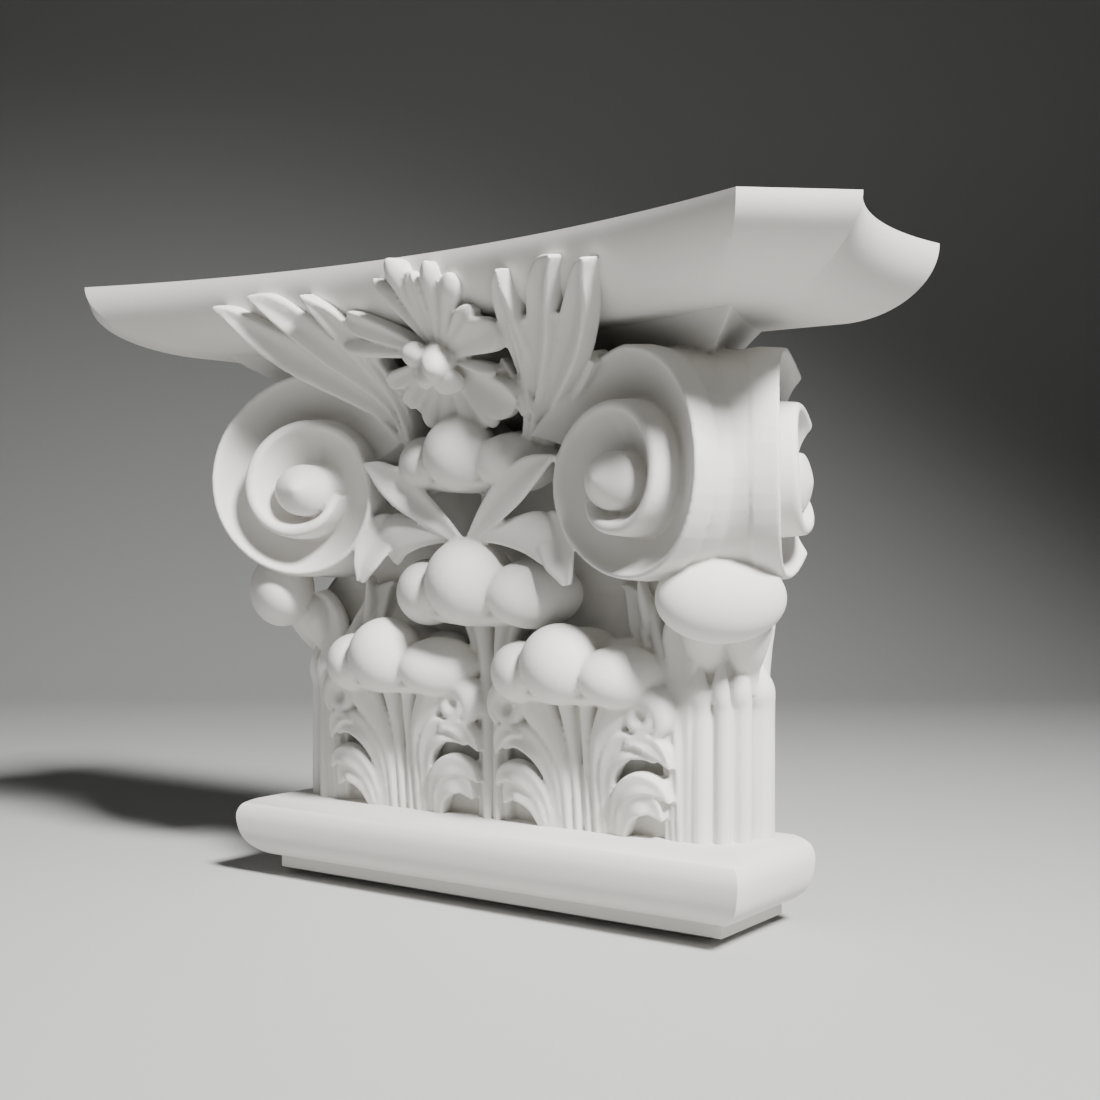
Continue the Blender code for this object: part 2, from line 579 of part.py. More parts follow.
def add_fleuron(carving):
    """Add the open flower in the middle of the abacus, which leans forward over the top head."""
    up = Vector((0, -math.sin(FLEURON_LEAN), math.cos(FLEURON_LEAN)))
    ahead = Vector((0, -math.cos(FLEURON_LEAN), -math.sin(FLEURON_LEAN)))

    def on_flower(across, rise, forward):
        offset = Vector((across, 0, 0)) + up * rise + ahead * forward
        return offset.x, FLEURON_OUT - offset.y, FLEURON_HEIGHT + offset.z

    for index, (degrees, length, width) in enumerate(PETALS):
        across, rise = math.sin(math.radians(degrees)), math.cos(math.radians(degrees))
        reach = length * FLEURON_RADIUS
        path = [on_flower(across * reach * share, rise * reach * share, forward)
                for share, forward in ((0.1, -2 * MM), (0.72, 3.5 * MM), (1.0, 2 * MM))]
        carving.rod(f"Petal {index + 1}", path,
                    (0.45 * width * MM, width * MM, 0.55 * width * MM),
                    flatness=0.5, face=ahead, paired=False)
    core = 0.5 * FLEURON_RADIUS
    carving.rod("Fleuron core",
                ((0, BELL_WAIST_PROJECTION - SINK, FLEURON_HEIGHT - 0.2 * core),
                 (0, FLEURON_OUT - 0.5 * core, FLEURON_HEIGHT), (0, FLEURON_OUT, FLEURON_HEIGHT)),
                (2.2 * core, 1.6 * core, 0.9 * core), flatness=1.0, face=Vector((0, 0, 1)), paired=False,
                sides=8)
    tilt = Matrix.Rotation(-FLEURON_LEAN, 4, "X")
    carving.ball("Bud", on_flower(0, 0, 0.1 * BUD_RADIUS),
                 (0.9 * BUD_RADIUS, 0.7 * BUD_RADIUS, 0.9 * BUD_RADIUS), False, tilt)
    pads = ((0.30, 0.05, 0.50, 0.85, 25), (-0.50, 0.50, 0.42, 0.42, 0), (-0.42, -0.42, 0.34, 0.62, -20),
            (0.22, -0.82, 0.50, 0.34, 15))
    for index, (across, rise, half_width, half_height, degrees) in enumerate(pads):
        place = on_flower(across * BUD_RADIUS, rise * BUD_RADIUS, 0.57 * BUD_RADIUS)
        turned = tilt @ Matrix.Rotation(math.radians(degrees), 4, "Y")
        carving.ball(f"Bud pad {index + 1}", place,
                     (half_width * BUD_RADIUS, 0.5 * BUD_RADIUS, half_height * BUD_RADIUS),
                     False, turned, SMALL_BALL_SIDES)


# The whole

def plaster():
    """Return matt white cast plaster."""
    material = bpy.data.materials.new("Cast plaster")
    material.use_nodes = True
    shader = material.node_tree.nodes["Principled BSDF"]
    shader.inputs["Base Color"].default_value = PLASTER_COLOUR
    shader.inputs["Roughness"].default_value = 0.85
    shader.inputs["Metallic"].default_value = 0.0
    return material


def new_collection(name):
    """Return a new collection in the scene."""
    collection = bpy.data.collections.new(name)
    bpy.context.scene.collection.children.link(collection)
    return collection


def wall_cutter(collection):
    """Return the box that cuts everything off at the wall."""
    mesh = bmesh.new()
    size = Vector((2 * ABACUS_WIDTH, ABACUS_PROJECTION, 2 * CAPITAL_HEIGHT))
    placing = Matrix.Translation((0, WALL_Y + size.y / 2, CAPITAL_HEIGHT / 2)) @ Matrix.Diagonal((*size, 1.0))
    bmesh.ops.create_cube(mesh, size=1.0, matrix=placing)
    cutter = make_object("Wall", mesh, collection)
    cutter.hide_render = True
    cutter.display_type = "WIRE"
    return cutter


def fill_openings(mesh):
    """Close the small openings of a mesh and remove faces that lie back to back."""
    edges = [edge for edge in mesh.edges if len(edge.link_faces) == 1]
    bmesh.ops.holes_fill(mesh, edges=edges, sides=0)
    bmesh.ops.triangulate(mesh, faces=mesh.faces)
    first_at = {}
    folded = []
    for face in mesh.faces:
        corners = frozenset(face.verts)
        if corners in first_at:
            folded += [face, first_at.pop(corners)]
        else:
            first_at[corners] = face
    bmesh.ops.delete(mesh, geom=folded, context="FACES")
    stray = [face for face in mesh.faces if all(len(edge.link_faces) == 1 for edge in face.edges)]
    bmesh.ops.delete(mesh, geom=stray, context="FACES")
    bmesh.ops.delete(mesh, geom=[edge for edge in mesh.edges if not edge.link_faces], context="EDGES")


def settled(thing):
    """Return the mesh that an object's modifiers make, without slivers and the carving's flattest edges."""
    data = bpy.data.meshes.new_from_object(thing.evaluated_get(bpy.context.evaluated_depsgraph_get()))
    mesh = bmesh.new()
    mesh.from_mesh(data)
    bmesh.ops.triangulate(mesh, faces=mesh.faces)
    bmesh.ops.remove_doubles(mesh, verts=mesh.verts, dist=SLIVER)
    bmesh.ops.dissolve_degenerate(mesh, dist=SLIVER, edges=mesh.edges)
    levels = {round(z / SLIVER) for _, z in abacus_levels()}
    carved = [edge for edge in mesh.edges
              if any(round(vert.co.z / SLIVER) not in levels for vert in edge.verts)]
    bmesh.ops.dissolve_limit(mesh, angle_limit=FLAT_ANGLE, verts=mesh.verts, edges=carved)
    bmesh.ops.triangulate(mesh, faces=mesh.faces)
    fill_openings(mesh)
    fill_openings(mesh)
    return mesh


def main():
    """Build the capital."""
    for thing in list(bpy.data.objects):
        bpy.data.objects.remove(thing, do_unlink=True)
    parts = new_collection("Pilaster capital")
    blocks = new_collection("Block")
    forms = new_collection("Carved forms")
    cutters = new_collection("Cutters")

    carving = Carving(forms)
    add_bed(carving)
    add_abacus(carving)
    add_lip(carving)
    add_volute(carving, "Front volute", False)
    add_volute(carving, "Side volute", True)
    add_heads(carving)
    add_low_leaf(carving)
    add_stalk(carving)
    add_corner_leaf(carving)
    add_upper_leaves(carving)
    add_fan(carving)
    add_fleuron(carving)

    block = make_object("Bell", bell_block(), blocks)
    join = block.modifiers.new("Carving", "BOOLEAN")
    join.operation = "UNION"
    join.solver = "EXACT"
    join.operand_type = "COLLECTION"
    join.collection = forms
    cut = block.modifiers.new("Wall", "BOOLEAN")
    cut.operation = "DIFFERENCE"
    cut.solver = "EXACT"
    cut.object = wall_cutter(cutters)
    capital = make_object("capital", settled(block), parts)
    capital.data.materials.append(plaster())
    bpy.data.objects.remove(block, do_unlink=True)


main()
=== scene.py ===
"""A cast plaster pilaster capital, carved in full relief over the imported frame's solid.

Metres, +Z up. The wall is on the +Y side. Points of the carving are written (x, out, z), where x
runs along the wall from the middle and out is how far a point stands from the wall.
"""

import logging
import math
from collections.abc import Callable, Sequence
from dataclasses import dataclass, field
from enum import Enum

import bmesh
import bpy
from mathutils import Matrix, Vector


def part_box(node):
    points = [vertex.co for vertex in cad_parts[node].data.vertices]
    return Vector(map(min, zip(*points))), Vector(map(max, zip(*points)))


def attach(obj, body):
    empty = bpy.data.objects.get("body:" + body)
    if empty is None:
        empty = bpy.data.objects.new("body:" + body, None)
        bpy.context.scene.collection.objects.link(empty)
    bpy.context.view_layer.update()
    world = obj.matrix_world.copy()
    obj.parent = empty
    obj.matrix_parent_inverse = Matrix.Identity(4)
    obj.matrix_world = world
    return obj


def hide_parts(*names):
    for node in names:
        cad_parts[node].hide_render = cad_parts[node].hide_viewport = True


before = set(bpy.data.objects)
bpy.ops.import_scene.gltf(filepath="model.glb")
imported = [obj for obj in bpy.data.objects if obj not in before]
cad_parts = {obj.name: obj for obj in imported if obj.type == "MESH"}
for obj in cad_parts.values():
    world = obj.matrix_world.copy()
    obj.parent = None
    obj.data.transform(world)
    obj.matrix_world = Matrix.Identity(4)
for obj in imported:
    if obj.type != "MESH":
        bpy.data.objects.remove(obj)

logging.basicConfig(level=logging.INFO, format="%(message)s")
log = logging.getLogger("capital")

Point = tuple[float, float, float]
Ring = list[Vector]

LOW_CORNER, HIGH_CORNER = (Vector(corner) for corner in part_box("capital"))
WIDTH = HIGH_CORNER.x - LOW_CORNER.x
DEPTH = HIGH_CORNER.y - LOW_CORNER.y
HEIGHT = HIGH_CORNER.z
WALL_Y = HIGH_CORNER.y
MM = WIDTH / 600
FORWARD = Vector((0, -1, 0))
UPWARD = Vector((0, 0, 1))

# Levels and planes that several forms share
FILLET_TOP = 13.4 * MM
BED_TOP = FILLET_TOP + 42 * MM
ABACUS_UNDERSIDE = HEIGHT - 42 * MM
BELL_HALF = 171 * MM
BELL_OUT = 56 * MM
WAIST_OUT = 46 * MM
LEAF_OUT = 62 * MM
LIP_CORNER = (207 * MM, 111.5 * MM)
DIAGONAL = LIP_CORNER[0] - LIP_CORNER[1]
SINK = 6 * MM

# How rods and blades are carved: the width of a rod's end, the least reach of a blade in
# millimetres, its thickness at the edge, where its fold crosses the middle plane, and how far
# its back rises on the way to the wall. All but the reach are shares.
ROD_END = 0.5
BLADE_REACH = 0.7
BLADE_EDGE = 0.15
FOLD_LEVEL = 0.4
BACK_RISE = 0.15


def at(x: float, out: float, z: float) -> Vector:
    """Return the world point x along the wall, out from it and z up."""
    return Vector((x, WALL_Y - out, z))


def smooth_path(knots: Sequence[Sequence[float]], steps: int) -> list[list[float]]:
    """Run a Catmull-Rom curve through knots.

    Args:
        knots: Numbers at each knot, such as a place and a width.
        steps: Samples for each span between two knots.

    Returns:
        The numbers at each sample, from the first knot to the last.
    """
    first = [2 * a - b for a, b in zip(knots[0], knots[1])]
    last = [2 * a - b for a, b in zip(knots[-1], knots[-2])]
    padded = [first, *knots, last]
    samples = []
    for span in range(len(knots) - 1):
        for step in range(steps + (span == len(knots) - 2)):
            t = step / steps
            samples.append([0.5 * (2 * b + (c - a) * t + (2 * a - 5 * b + 4 * c - d) * t ** 2
                                   + (3 * b - a - 3 * c + d) * t ** 3)
                            for a, b, c, d in zip(*padded[span:span + 4])])
    return samples


def crossing(function: Callable[[float], float], low: float, high: float) -> float:
    """Return where a rising function passes zero between low and high, by halving."""
    for _ in range(40):
        middle = (low + high) / 2
        if function(middle) > 0:
            high = middle
        else:
            low = middle
    return (low + high) / 2


class Facing(Enum):
    """The faces of the capital that a volute can look out from."""

    FRONT = "front"
    SIDE = "side"


@dataclass
class Clay:
    """Closed shells that are gathered into one mesh and then melted together.

    Attributes:
        vertices: Places of the points.
        faces: Indices of the points round each face.
    """

    vertices: list[Vector] = field(default_factory=list)
    faces: list[tuple[int, ...]] = field(default_factory=list)

    def skin(self, rings: Sequence[Ring], paired: bool = False) -> None:
        """Add a closed shell over rings of equal count.

        Args:
            rings: The outlines from one flat end to the other.
            paired: Whether it also stands on the other side of the middle.
        """
        for side in (1, -1) if paired else (1,):
            start, count = len(self.vertices), len(rings[0])
            self.vertices += [Vector((side * p.x, p.y, p.z)) for ring in rings for p in ring]
            for row in range(len(rings) - 1):
                for i in range(count):
                    j = (i + 1) % count
                    a, b = start + row * count + i, start + row * count + j
                    self.faces.append((a, b, b + count, a + count)[::side])
            self.faces.append(tuple(start + i for i in range(count))[::-side])
            top = start + (len(rings) - 1) * count
            self.faces.append(tuple(top + i for i in range(count))[::side])

    def rod(self, points: Sequence[Point], widths: Sequence[float], flatness: float = 0.8,
            face: Vector = FORWARD, paired: bool = True, steps: int = 8, sides: int = 16) -> None:
        """Add a tapered, bent rod with rounded ends.

        Args:
            points: Places (x, out, z) along its middle.
            widths: Its full width at each of them.
            flatness: How thick it is towards its face, as a share of its width.
            face: The way it faces.
            paired: Whether it also stands on the other side of the middle.
            steps: Rings for each span.
            sides: Points in each ring.
        """
        samples = smooth_path([(*point, width) for point, width in zip(points, widths)], steps)
        places = [at(*sample[:3]) for sample in samples]
        turns = [2 * math.pi * (k + 0.5) / sides for k in range(sides)]
        outline = [(math.cos(turn), flatness * math.sin(turn)) for turn in turns]
        rings = []
        for i, (place, sample) in enumerate(zip(places, samples)):
            along = (places[min(i + 1, len(places) - 1)] - places[max(i - 1, 0)]).normalized()
            side = along.cross(face).normalized()
            front = side.cross(along)
            half = max(sample[3], MM) / 2
            rings.append([place + side * half * u + front * half * v for u, v in outline])
        start, end = places[0], places[-1]
        cap_in = [[start + (p - start) * ROD_END for p in rings[0]]]
        cap_out = [[end + (p - end) * ROD_END for p in rings[-1]]]
        self.skin(cap_in + rings + cap_out, paired)

    def strand(self, path: Sequence[Sequence[float]], **shape: float | bool) -> None:
        """Add a rod along knots (x, out, z, width) in millimetres, shaped by the choices of rod."""
        self.rod([(x * MM, out * MM, z * MM) for x, out, z, _ in path], [width * MM for *_, width in path], **shape)

    def blade(self, path: Sequence[Sequence[float]], fold: float, thick: float = 6.0, behind: float = 0.0,
              face: Vector = FORWARD, paired: bool = True, cells: int = 12) -> None:
        """Add a leaf blade with thin edges, folded along its middle.

        Args:
            path: Knots of its middle (x, out, z) and its reach to the left and right, in millimetres.
            fold: Depth of the valley along it as a share of its width, or under 0 the height of a ridge.
            thick: Its thickness in millimetres.
            behind: How far its back lies towards the wall as well, in millimetres.
            face: The way it faces.
            paired: Whether it also stands on the other side of the middle.
            cells: Cells across.
        """
        samples = smooth_path(path, 6)
        places = [at(*(c * MM for c in sample[:3])) for sample in samples]
        backward = Vector((0, behind, BACK_RISE * behind)) * MM
        rings = []
        for i, (place, (*_, left, right)) in enumerate(zip(places, samples)):
            along = (places[min(i + 1, len(places) - 1)] - places[max(i - 1, 0)]).normalized()
            side = along.cross(face).normalized()
            front = side.cross(along)
            left, right = max(left, BLADE_REACH), max(right, BLADE_REACH)
            fore, rear = [], []
            for k in range(cells + 1):
                u = 2 * k / cells - 1
                reach = (right if u > 0 else left) * u
                height = fold * (left + right) * (abs(u) ** 1.5 - FOLD_LEVEL)
                half = thick / 2 * max(BLADE_EDGE, math.sqrt(1 - u ** 6))
                fore.append(place + (side * reach + front * (height + half)) * MM)
                rear.append(place + (side * reach + front * (height - half)) * MM + backward)
            rings.append(fore + rear[::-1])
        self.skin(rings, paired)

    def ball(self, centre: Point, radii: Point, paired: bool = True, turned: Matrix = Matrix(),
             sides: int = 36, square: float = 1.0) -> None:
        """Add a ball or egg.

        Args:
            centre: Its middle (x, out, z).
            radii: Its half sizes along x, y and z.
            paired: Whether it also stands on the other side of the middle.
            turned: How it is turned.
            sides: Points round it.
            square: Under 1, how far it bulges towards a box.
        """
        middle = at(*centre)
        rows = sides // 2
        rings = []
        for row in range(rows + 1):
            tilt = math.pi * (0.01 + 0.98 * row / rows)
            ring = []
            for k in range(sides):
                turn = 2 * math.pi * k / sides
                spot = Vector((math.sin(tilt) * math.cos(turn), math.sin(tilt) * math.sin(turn), -math.cos(tilt)))
                spot = Vector([math.copysign(abs(c) ** square, c) for c in spot])
                ring.append(middle + turned @ Vector([c * r for c, r in zip(spot, radii)]))
            rings.append(ring)
        self.skin(rings, paired)

    def mesh(self, name: str) -> bpy.types.Mesh:
        """Return the shells as one mesh."""
        data = bpy.data.meshes.new(name)
        data.from_pydata(self.vertices, [], self.faces)
        data.update()
        return data


@dataclass(frozen=True)
class Block:
    """The plain block: bed, bell, lip and abacus.

    The bed and the abacus keep crisp edges, so they aren't melted with the carving.

    Attributes:
        lean: How far the face of the abacus is drawn in on its way down.
        cut_slope: How much faster than the face its cut corners are drawn in.
        lip_hollow: How far the lip of the bell is drawn in between its corners.
        spread: How far the bell widens up to the berries, over both sides.
        waist_run: Height over which the bell narrows above them.
        rib_cut: How far its front corners are cut back, so that the ribs stand clear.
    """

    bed_half: float = 179.25 * MM
    bed_out: float = 77.6 * MM
    fillet_height: float = 5 * MM
    fillet_setback: float = 12 * MM
    foot_draw: float = 3 * MM
    edge: float = 0.4 * MM
    nose_height: float = 42 * MM
    nose_overhang: float = 22.9 * MM
    cut_width: float = 48.7 * MM
    cut_depth: float = 42.5 * MM
    cut_slope: float = 1.7
    lean: float = 60 * MM
    front_hollow: float = 42.5 * MM
    side_hollow: float = 24 * MM
    side_hollow_out: float = 50 * MM
    lip_hollow: float = 50 * MM
    lip_height: float = 22 * MM
    lip_slope: float = 30 * MM
    lip_overlap: float = 2 * MM
    waist_half: float = 150 * MM
    spread: float = 10 * MM
    shoulder: float = 152 * MM
    berry_level: float = 204 * MM
    waist_run: float = 26 * MM
    rib_cut: float = 12 * MM

    @staticmethod
    def rectangle(half: float, out: float, z: float, back: float = 0.0) -> Ring:
        """Return the corners of a plan that stands out from the wall."""
        return [at(half, back, z), at(-half, back, z), at(-half, out, z), at(half, out, z)]

    def bed(self, clay: Clay) -> None:
        """Add the two fillets and the bullnose, mitred round the front corners."""
        levels = [(-self.fillet_setback - self.foot_draw, 0),
                  (-self.fillet_setback, self.fillet_height - self.edge),
                  (-self.edge, self.fillet_height), (0, self.fillet_height + self.edge), (0, FILLET_TOP)]
        knots = ((0.02, 0.0), (0.30, 0.035), (0.59, 0.14), (0.79, 0.257), (0.925, 0.42), (1.0, 0.655),
                 (0.96, 0.80), (0.84, 0.90), (0.58, 0.97), (0.35, 1.0))
        levels += [(self.nose_overhang * out, FILLET_TOP + self.nose_height * up)
                   for out, up in smooth_path(knots, 4)]
        clay.skin([self.rectangle(self.bed_half + more, self.bed_out + more, z) for more, z in levels])

    def bell(self, clay: Clay) -> None:
        """Add the block behind the carving."""
        levels = ((BED_TOP - SINK, BELL_HALF, BELL_OUT), (self.shoulder, BELL_HALF, BELL_OUT),
                  (self.berry_level, BELL_HALF + self.spread / 2, WAIST_OUT),
                  (self.berry_level + self.waist_run, self.waist_half, WAIST_OUT),
                  (ABACUS_UNDERSIDE + SINK, self.waist_half, WAIST_OUT))
        cut = self.rib_cut
        rings = []
        for z, half, out in levels:
            rings.append([at(half, -SINK, z), at(-half, -SINK, z), at(-half, out - cut, z), at(cut - half, out, z),
                          at(half - cut, out, z), at(half, out - cut, z)])
        clay.skin(rings)

    def abacus_plan(self, lean: float, z: float) -> Ring:
        """Draw the plan of the abacus.

        Args:
            lean: How far it is drawn in from the top edge.
            z: Its height.

        Returns:
            The points from the wall round the right corner to the wall.
        """
        corner_x = WIDTH / 2 - self.cut_width
        front_radius = (corner_x ** 2 + self.front_hollow ** 2) / (2 * self.front_hollow) + lean
        front_middle = DEPTH - self.front_hollow - lean
        side_reach = DEPTH - self.cut_depth - self.side_hollow_out
        side_radius = (side_reach ** 2 + self.side_hollow ** 2) / (2 * self.side_hollow) + lean
        side_middle = WIDTH / 2 - self.side_hollow - lean
        length = math.hypot(self.cut_width, self.cut_depth)
        across, forward = self.cut_depth / length, self.cut_width / length
        reach = across * corner_x + forward * DEPTH - self.cut_slope * lean

        def side_x(out: float) -> float:
            """Return how far the side stands from the middle at out."""
            return side_middle + side_radius - math.sqrt(side_radius ** 2 - (out - self.side_hollow_out) ** 2)

        def front_out(x: float) -> float:
            """Return how far the front stands from the wall at x."""
            return front_middle + front_radius - math.sqrt(front_radius ** 2 - x ** 2)

        side_end = crossing(lambda out: across * side_x(out) + forward * out - reach, 0, DEPTH)
        front_end = crossing(lambda x: across * x + forward * front_out(x) - reach, 0, WIDTH / 2)
        side_steps, half_steps = 24, 40
        outs = [side_end * k / side_steps for k in range(side_steps + 1)]
        xs = [front_end * (1 - k / half_steps) for k in range(2 * half_steps + 1)]
        return ([at(side_x(out), out, z) for out in outs] + [at(x, front_out(x), z) for x in xs]
                + [at(-side_x(out), out, z) for out in reversed(outs)])

    def abacus(self, clay: Clay) -> None:
        """Add the slab on top, its face a quarter round that ends in a flat underside."""
        steps = 24
        turns = [math.pi / 2 * step / steps for step in range(steps + 1)]
        thick = HEIGHT - ABACUS_UNDERSIDE
        clay.skin([self.abacus_plan(self.lean * (1 - math.sin(turn)), HEIGHT - thick * math.cos(turn))
                   for turn in turns])

    def lip(self, clay: Clay) -> None:
        """Add the lip of the bell, whose plan is hollowed between pointed corners."""
        front_steps, side_steps = 24, 10
        rings = []
        for share in (0.0, 0.25, 0.5, 0.75, 1.0):
            drop = self.lip_slope * (1 - share)
            corner_x, corner_out = LIP_CORNER[0] - drop, LIP_CORNER[1] - drop
            z = ABACUS_UNDERSIDE + self.lip_overlap - self.lip_height * (1 - share)

            def hollow(reach: float, limit: float = corner_x) -> float:
                """Return how far the plan is drawn in at reach from the middle."""
                return self.lip_hollow * (1 - (reach / limit) ** 2)

            front = [(corner_x * k / front_steps, corner_out - hollow(corner_x * k / front_steps))
                     for k in range(front_steps, -front_steps - 1, -1)]
            outs = [corner_out * k / side_steps - SINK * (k == 0) for k in range(side_steps)]
            side = [(corner_x - hollow(corner_x - corner_out + out), out) for out in outs]
            plan = side + front + [(-x, out) for x, out in reversed(side)]
            rings.append([at(x, out, z) for x, out in plan])
        clay.skin(rings)


@dataclass(frozen=True)
class Volute:
    """A spiral band with a dished face and a pointed eye.

    Attributes:
        facing: The face that it looks out from.
        face_turn: How far its face turns away from the middle.
        setback: How far the rim lies behind the eye at the top.
        face_hollow: How far the rim comes forward again at the sides.
        shares: The band's outer radius after each quarter turn, as a share of the first.
        quarters: Quarter turns from the top to the end of the band.
        inner_rise: How far the inner turn stands in front of the outer one.
        dish: Depth of the hollow between the rim and the next turn.
        flare: How far the band spreads behind the rim.
        early: Shares of the radius over the turn before the top, where the band springs from the
            fan's foot.
        overlap: How far each turn reaches into the next, and the last into the eye.
        side_dome: Height of a side eye against a front one.
    """

    facing: Facing
    eye_x: float = 124.6 * MM
    eye_out: float = 111.8 * MM
    eye_height: float = 273 * MM
    eye_width: float = 43 * MM
    eye_tall: float = 35 * MM
    eye_dome: float = 15.5 * MM
    face_turn: float = math.radians(15.4)
    setback: float = 8 * MM
    face_hollow: float = 9 * MM
    radius: float = 80.8 * MM
    shares: tuple[float, ...] = (1.0, 0.886, 0.714, 0.646, 0.593, 0.535, 0.39, 0.31, 0.28, 0.27, 0.26, 0.25)
    quarters: float = 6.9
    inner_rise: float = 16 * MM
    first_rim: float = 3.6 * MM
    second_rim: float = 8 * MM
    dish: float = 17 * MM
    flare: float = 2.5 * MM
    early: tuple[float, ...] = (1.08, 1.0, 0.91, 0.94, 1.0)
    overlap: float = 4 * MM
    side_dome: float = 0.45

    def band_radius(self, quarters: float) -> float:
        """Return the outer radius after so many quarter turns from the top."""
        if quarters < 0:
            place = 4 * (quarters + 1)
            first = min(max(int(place), 0), 3)
            share = place - first
            return self.radius * (self.early[first] * (1 - share) + self.early[first + 1] * share)
        first = min(int(quarters), len(self.shares) - 2)
        before = self.shares[max(first - 1, 0)]
        start, end = self.shares[first], self.shares[first + 1]
        after = self.shares[min(first + 2, len(self.shares) - 1)]
        t = quarters - first
        share = 0.5 * (2 * start + (end - before) * t + (2 * before - 5 * start + 4 * end - after) * t ** 2
                       + (3 * start - before - 3 * end + after) * t ** 3)
        return self.radius * share

    def on_face(self, reach: float, forward: float, up: float) -> Vector:
        """Return the world point along, in front of and up from the eye."""
        x = self.eye_x + reach * math.cos(self.face_turn) - forward * math.sin(self.face_turn)
        out = self.eye_out + reach * math.sin(self.face_turn) + forward * math.cos(self.face_turn)
        if self.facing is Facing.SIDE:
            x, out = out + DIAGONAL, x - DIAGONAL
        return at(x, out, self.eye_height + up)

    def back(self, reach: float) -> float:
        """Return how far forward of the eye the plane between the two volutes is."""
        both = math.cos(self.face_turn) + math.sin(self.face_turn)
        gap = math.cos(self.face_turn) - math.sin(self.face_turn)
        return (self.eye_x - self.eye_out - DIAGONAL + reach * gap) / both - 1 * MM

    def ring(self, quarters: float) -> Ring:
        """Return the outline across the band after so many quarter turns from the top."""
        angle = quarters * math.pi / 2
        outer = self.band_radius(quarters)
        inner = self.band_radius(quarters + 4) if quarters < 3.9 else self.eye_tall / 2
        foot = inner - self.overlap
        wide = self.first_rim + (self.second_rim - self.first_rim) * min(max((quarters - 3) / 1.5, 0), 1)
        rim = min(wide, 0.42 * (outer - foot))
        reach = outer * math.sin(angle)
        rise = self.inner_rise * max(quarters - 1, 0) / (self.quarters - 1)
        rise *= 1 - 0.8 * min(max((quarters - 6) / (self.quarters - 6), 0), 1) ** 2
        top = self.face_hollow * (reach / self.band_radius(1)) ** 2 - self.setback + rise
        profile = [(outer + 0.5 * self.flare, top - 2 * self.second_rim)]
        for step in range(7):
            bend = math.pi * step / 6
            profile.append((outer - rim / 2 + rim / 2 * math.cos(bend), top - 0.4 * rim + 0.4 * rim * math.sin(bend)))
        for step in range(1, 9):
            share = step / 8
            drop = 0.4 * rim + (self.dish - 0.4 * rim) * math.sin(share * math.pi / 2) ** 0.8
            profile.append((outer - rim - (outer - rim - foot) * share, top - drop))
        ring = [self.on_face(r * math.sin(angle), n, r * math.cos(angle)) for r, n in profile]
        for r, n in ((foot, 0.0), (outer + self.flare, 0.0), (outer, 0.5)):
            reach = r * math.sin(angle)
            ring.append(self.on_face(reach, self.back(reach) + n * (top - self.back(reach)), r * math.cos(angle)))
        return ring

    def build(self, clay: Clay) -> None:
        """Add the two turns of the band and the eye."""
        per_quarter = 12
        first = [k / per_quarter for k in range(-3 * per_quarter // 4, 4 * per_quarter + 1)]
        second = [4 + (self.quarters - 4) * k / 36 for k in range(-1, 37)]
        clay.skin([self.ring(q) for q in first], True)
        clay.skin([self.ring(q) for q in second], True)
        sides, rings = 36, []
        dome = self.eye_dome * (self.side_dome if self.facing is Facing.SIDE else 1)
        levels = [(1.0, -25 * MM)] + [(math.cos(t), dome * (0.45 * math.sin(t) + 0.55 * (1 - math.cos(t))))
                                      for t in (math.pi / 2 * k / 12 * 0.985 for k in range(13))]
        for share, forward in levels:
            turns = [2 * math.pi * k / sides for k in range(sides)]
            rings.append([self.on_face(self.eye_width / 2 * share * math.sin(t), forward,
                                       self.eye_tall / 2 * share * math.cos(t)) for t in turns])
        clay.skin(rings, True)


@dataclass(frozen=True)
class BerryHead:
    """A head of round lobes like a small cloud, on a collar.

    Attributes:
        centre: Middle of the front lobe (x, out, z).
        berry: Its radius.
        paired: Whether it also stands on the other side of the middle.
        side_turn: How far the lobes beside the front one turn away, in degrees.
        rear_share: Size of the lobes behind those, as a share of the front one.
    """

    centre: Point
    berry: float
    paired: bool
    side_turn: float = 34.0
    rear_share: float = 0.71

    def build(self, clay: Clay) -> None:
        """Add the lobes from the front middle round to the bell."""
        x, out, z = self.centre
        r = self.berry
        clay.ball(self.centre, (r, r, 0.98 * r), self.paired)
        clay.ball((x, out - 1.0 * r, z + 0.1 * r), (1.0 * r, r, 0.75 * r), self.paired)
        clay.ball((x, out - 0.55 * r, z - 0.74 * r), (1.7 * r, 0.9 * r, 0.26 * r), self.paired)
        rear = self.rear_share * r
        for sign in (-1, 1):
            turned = Matrix.Rotation(math.radians(-self.side_turn * sign), 4, "Z")
            clay.ball((x + sign * 1.46 * r, out - 0.40 * r, z - 0.26 * r), (0.76 * r, 1.1 * r, 0.76 * r),
                      self.paired, turned)
            clay.ball((x + sign * 1.1 * r, out - 1.15 * r, z + 0.05 * r), (1.1 * rear, rear, 0.8 * rear),
                      self.paired)


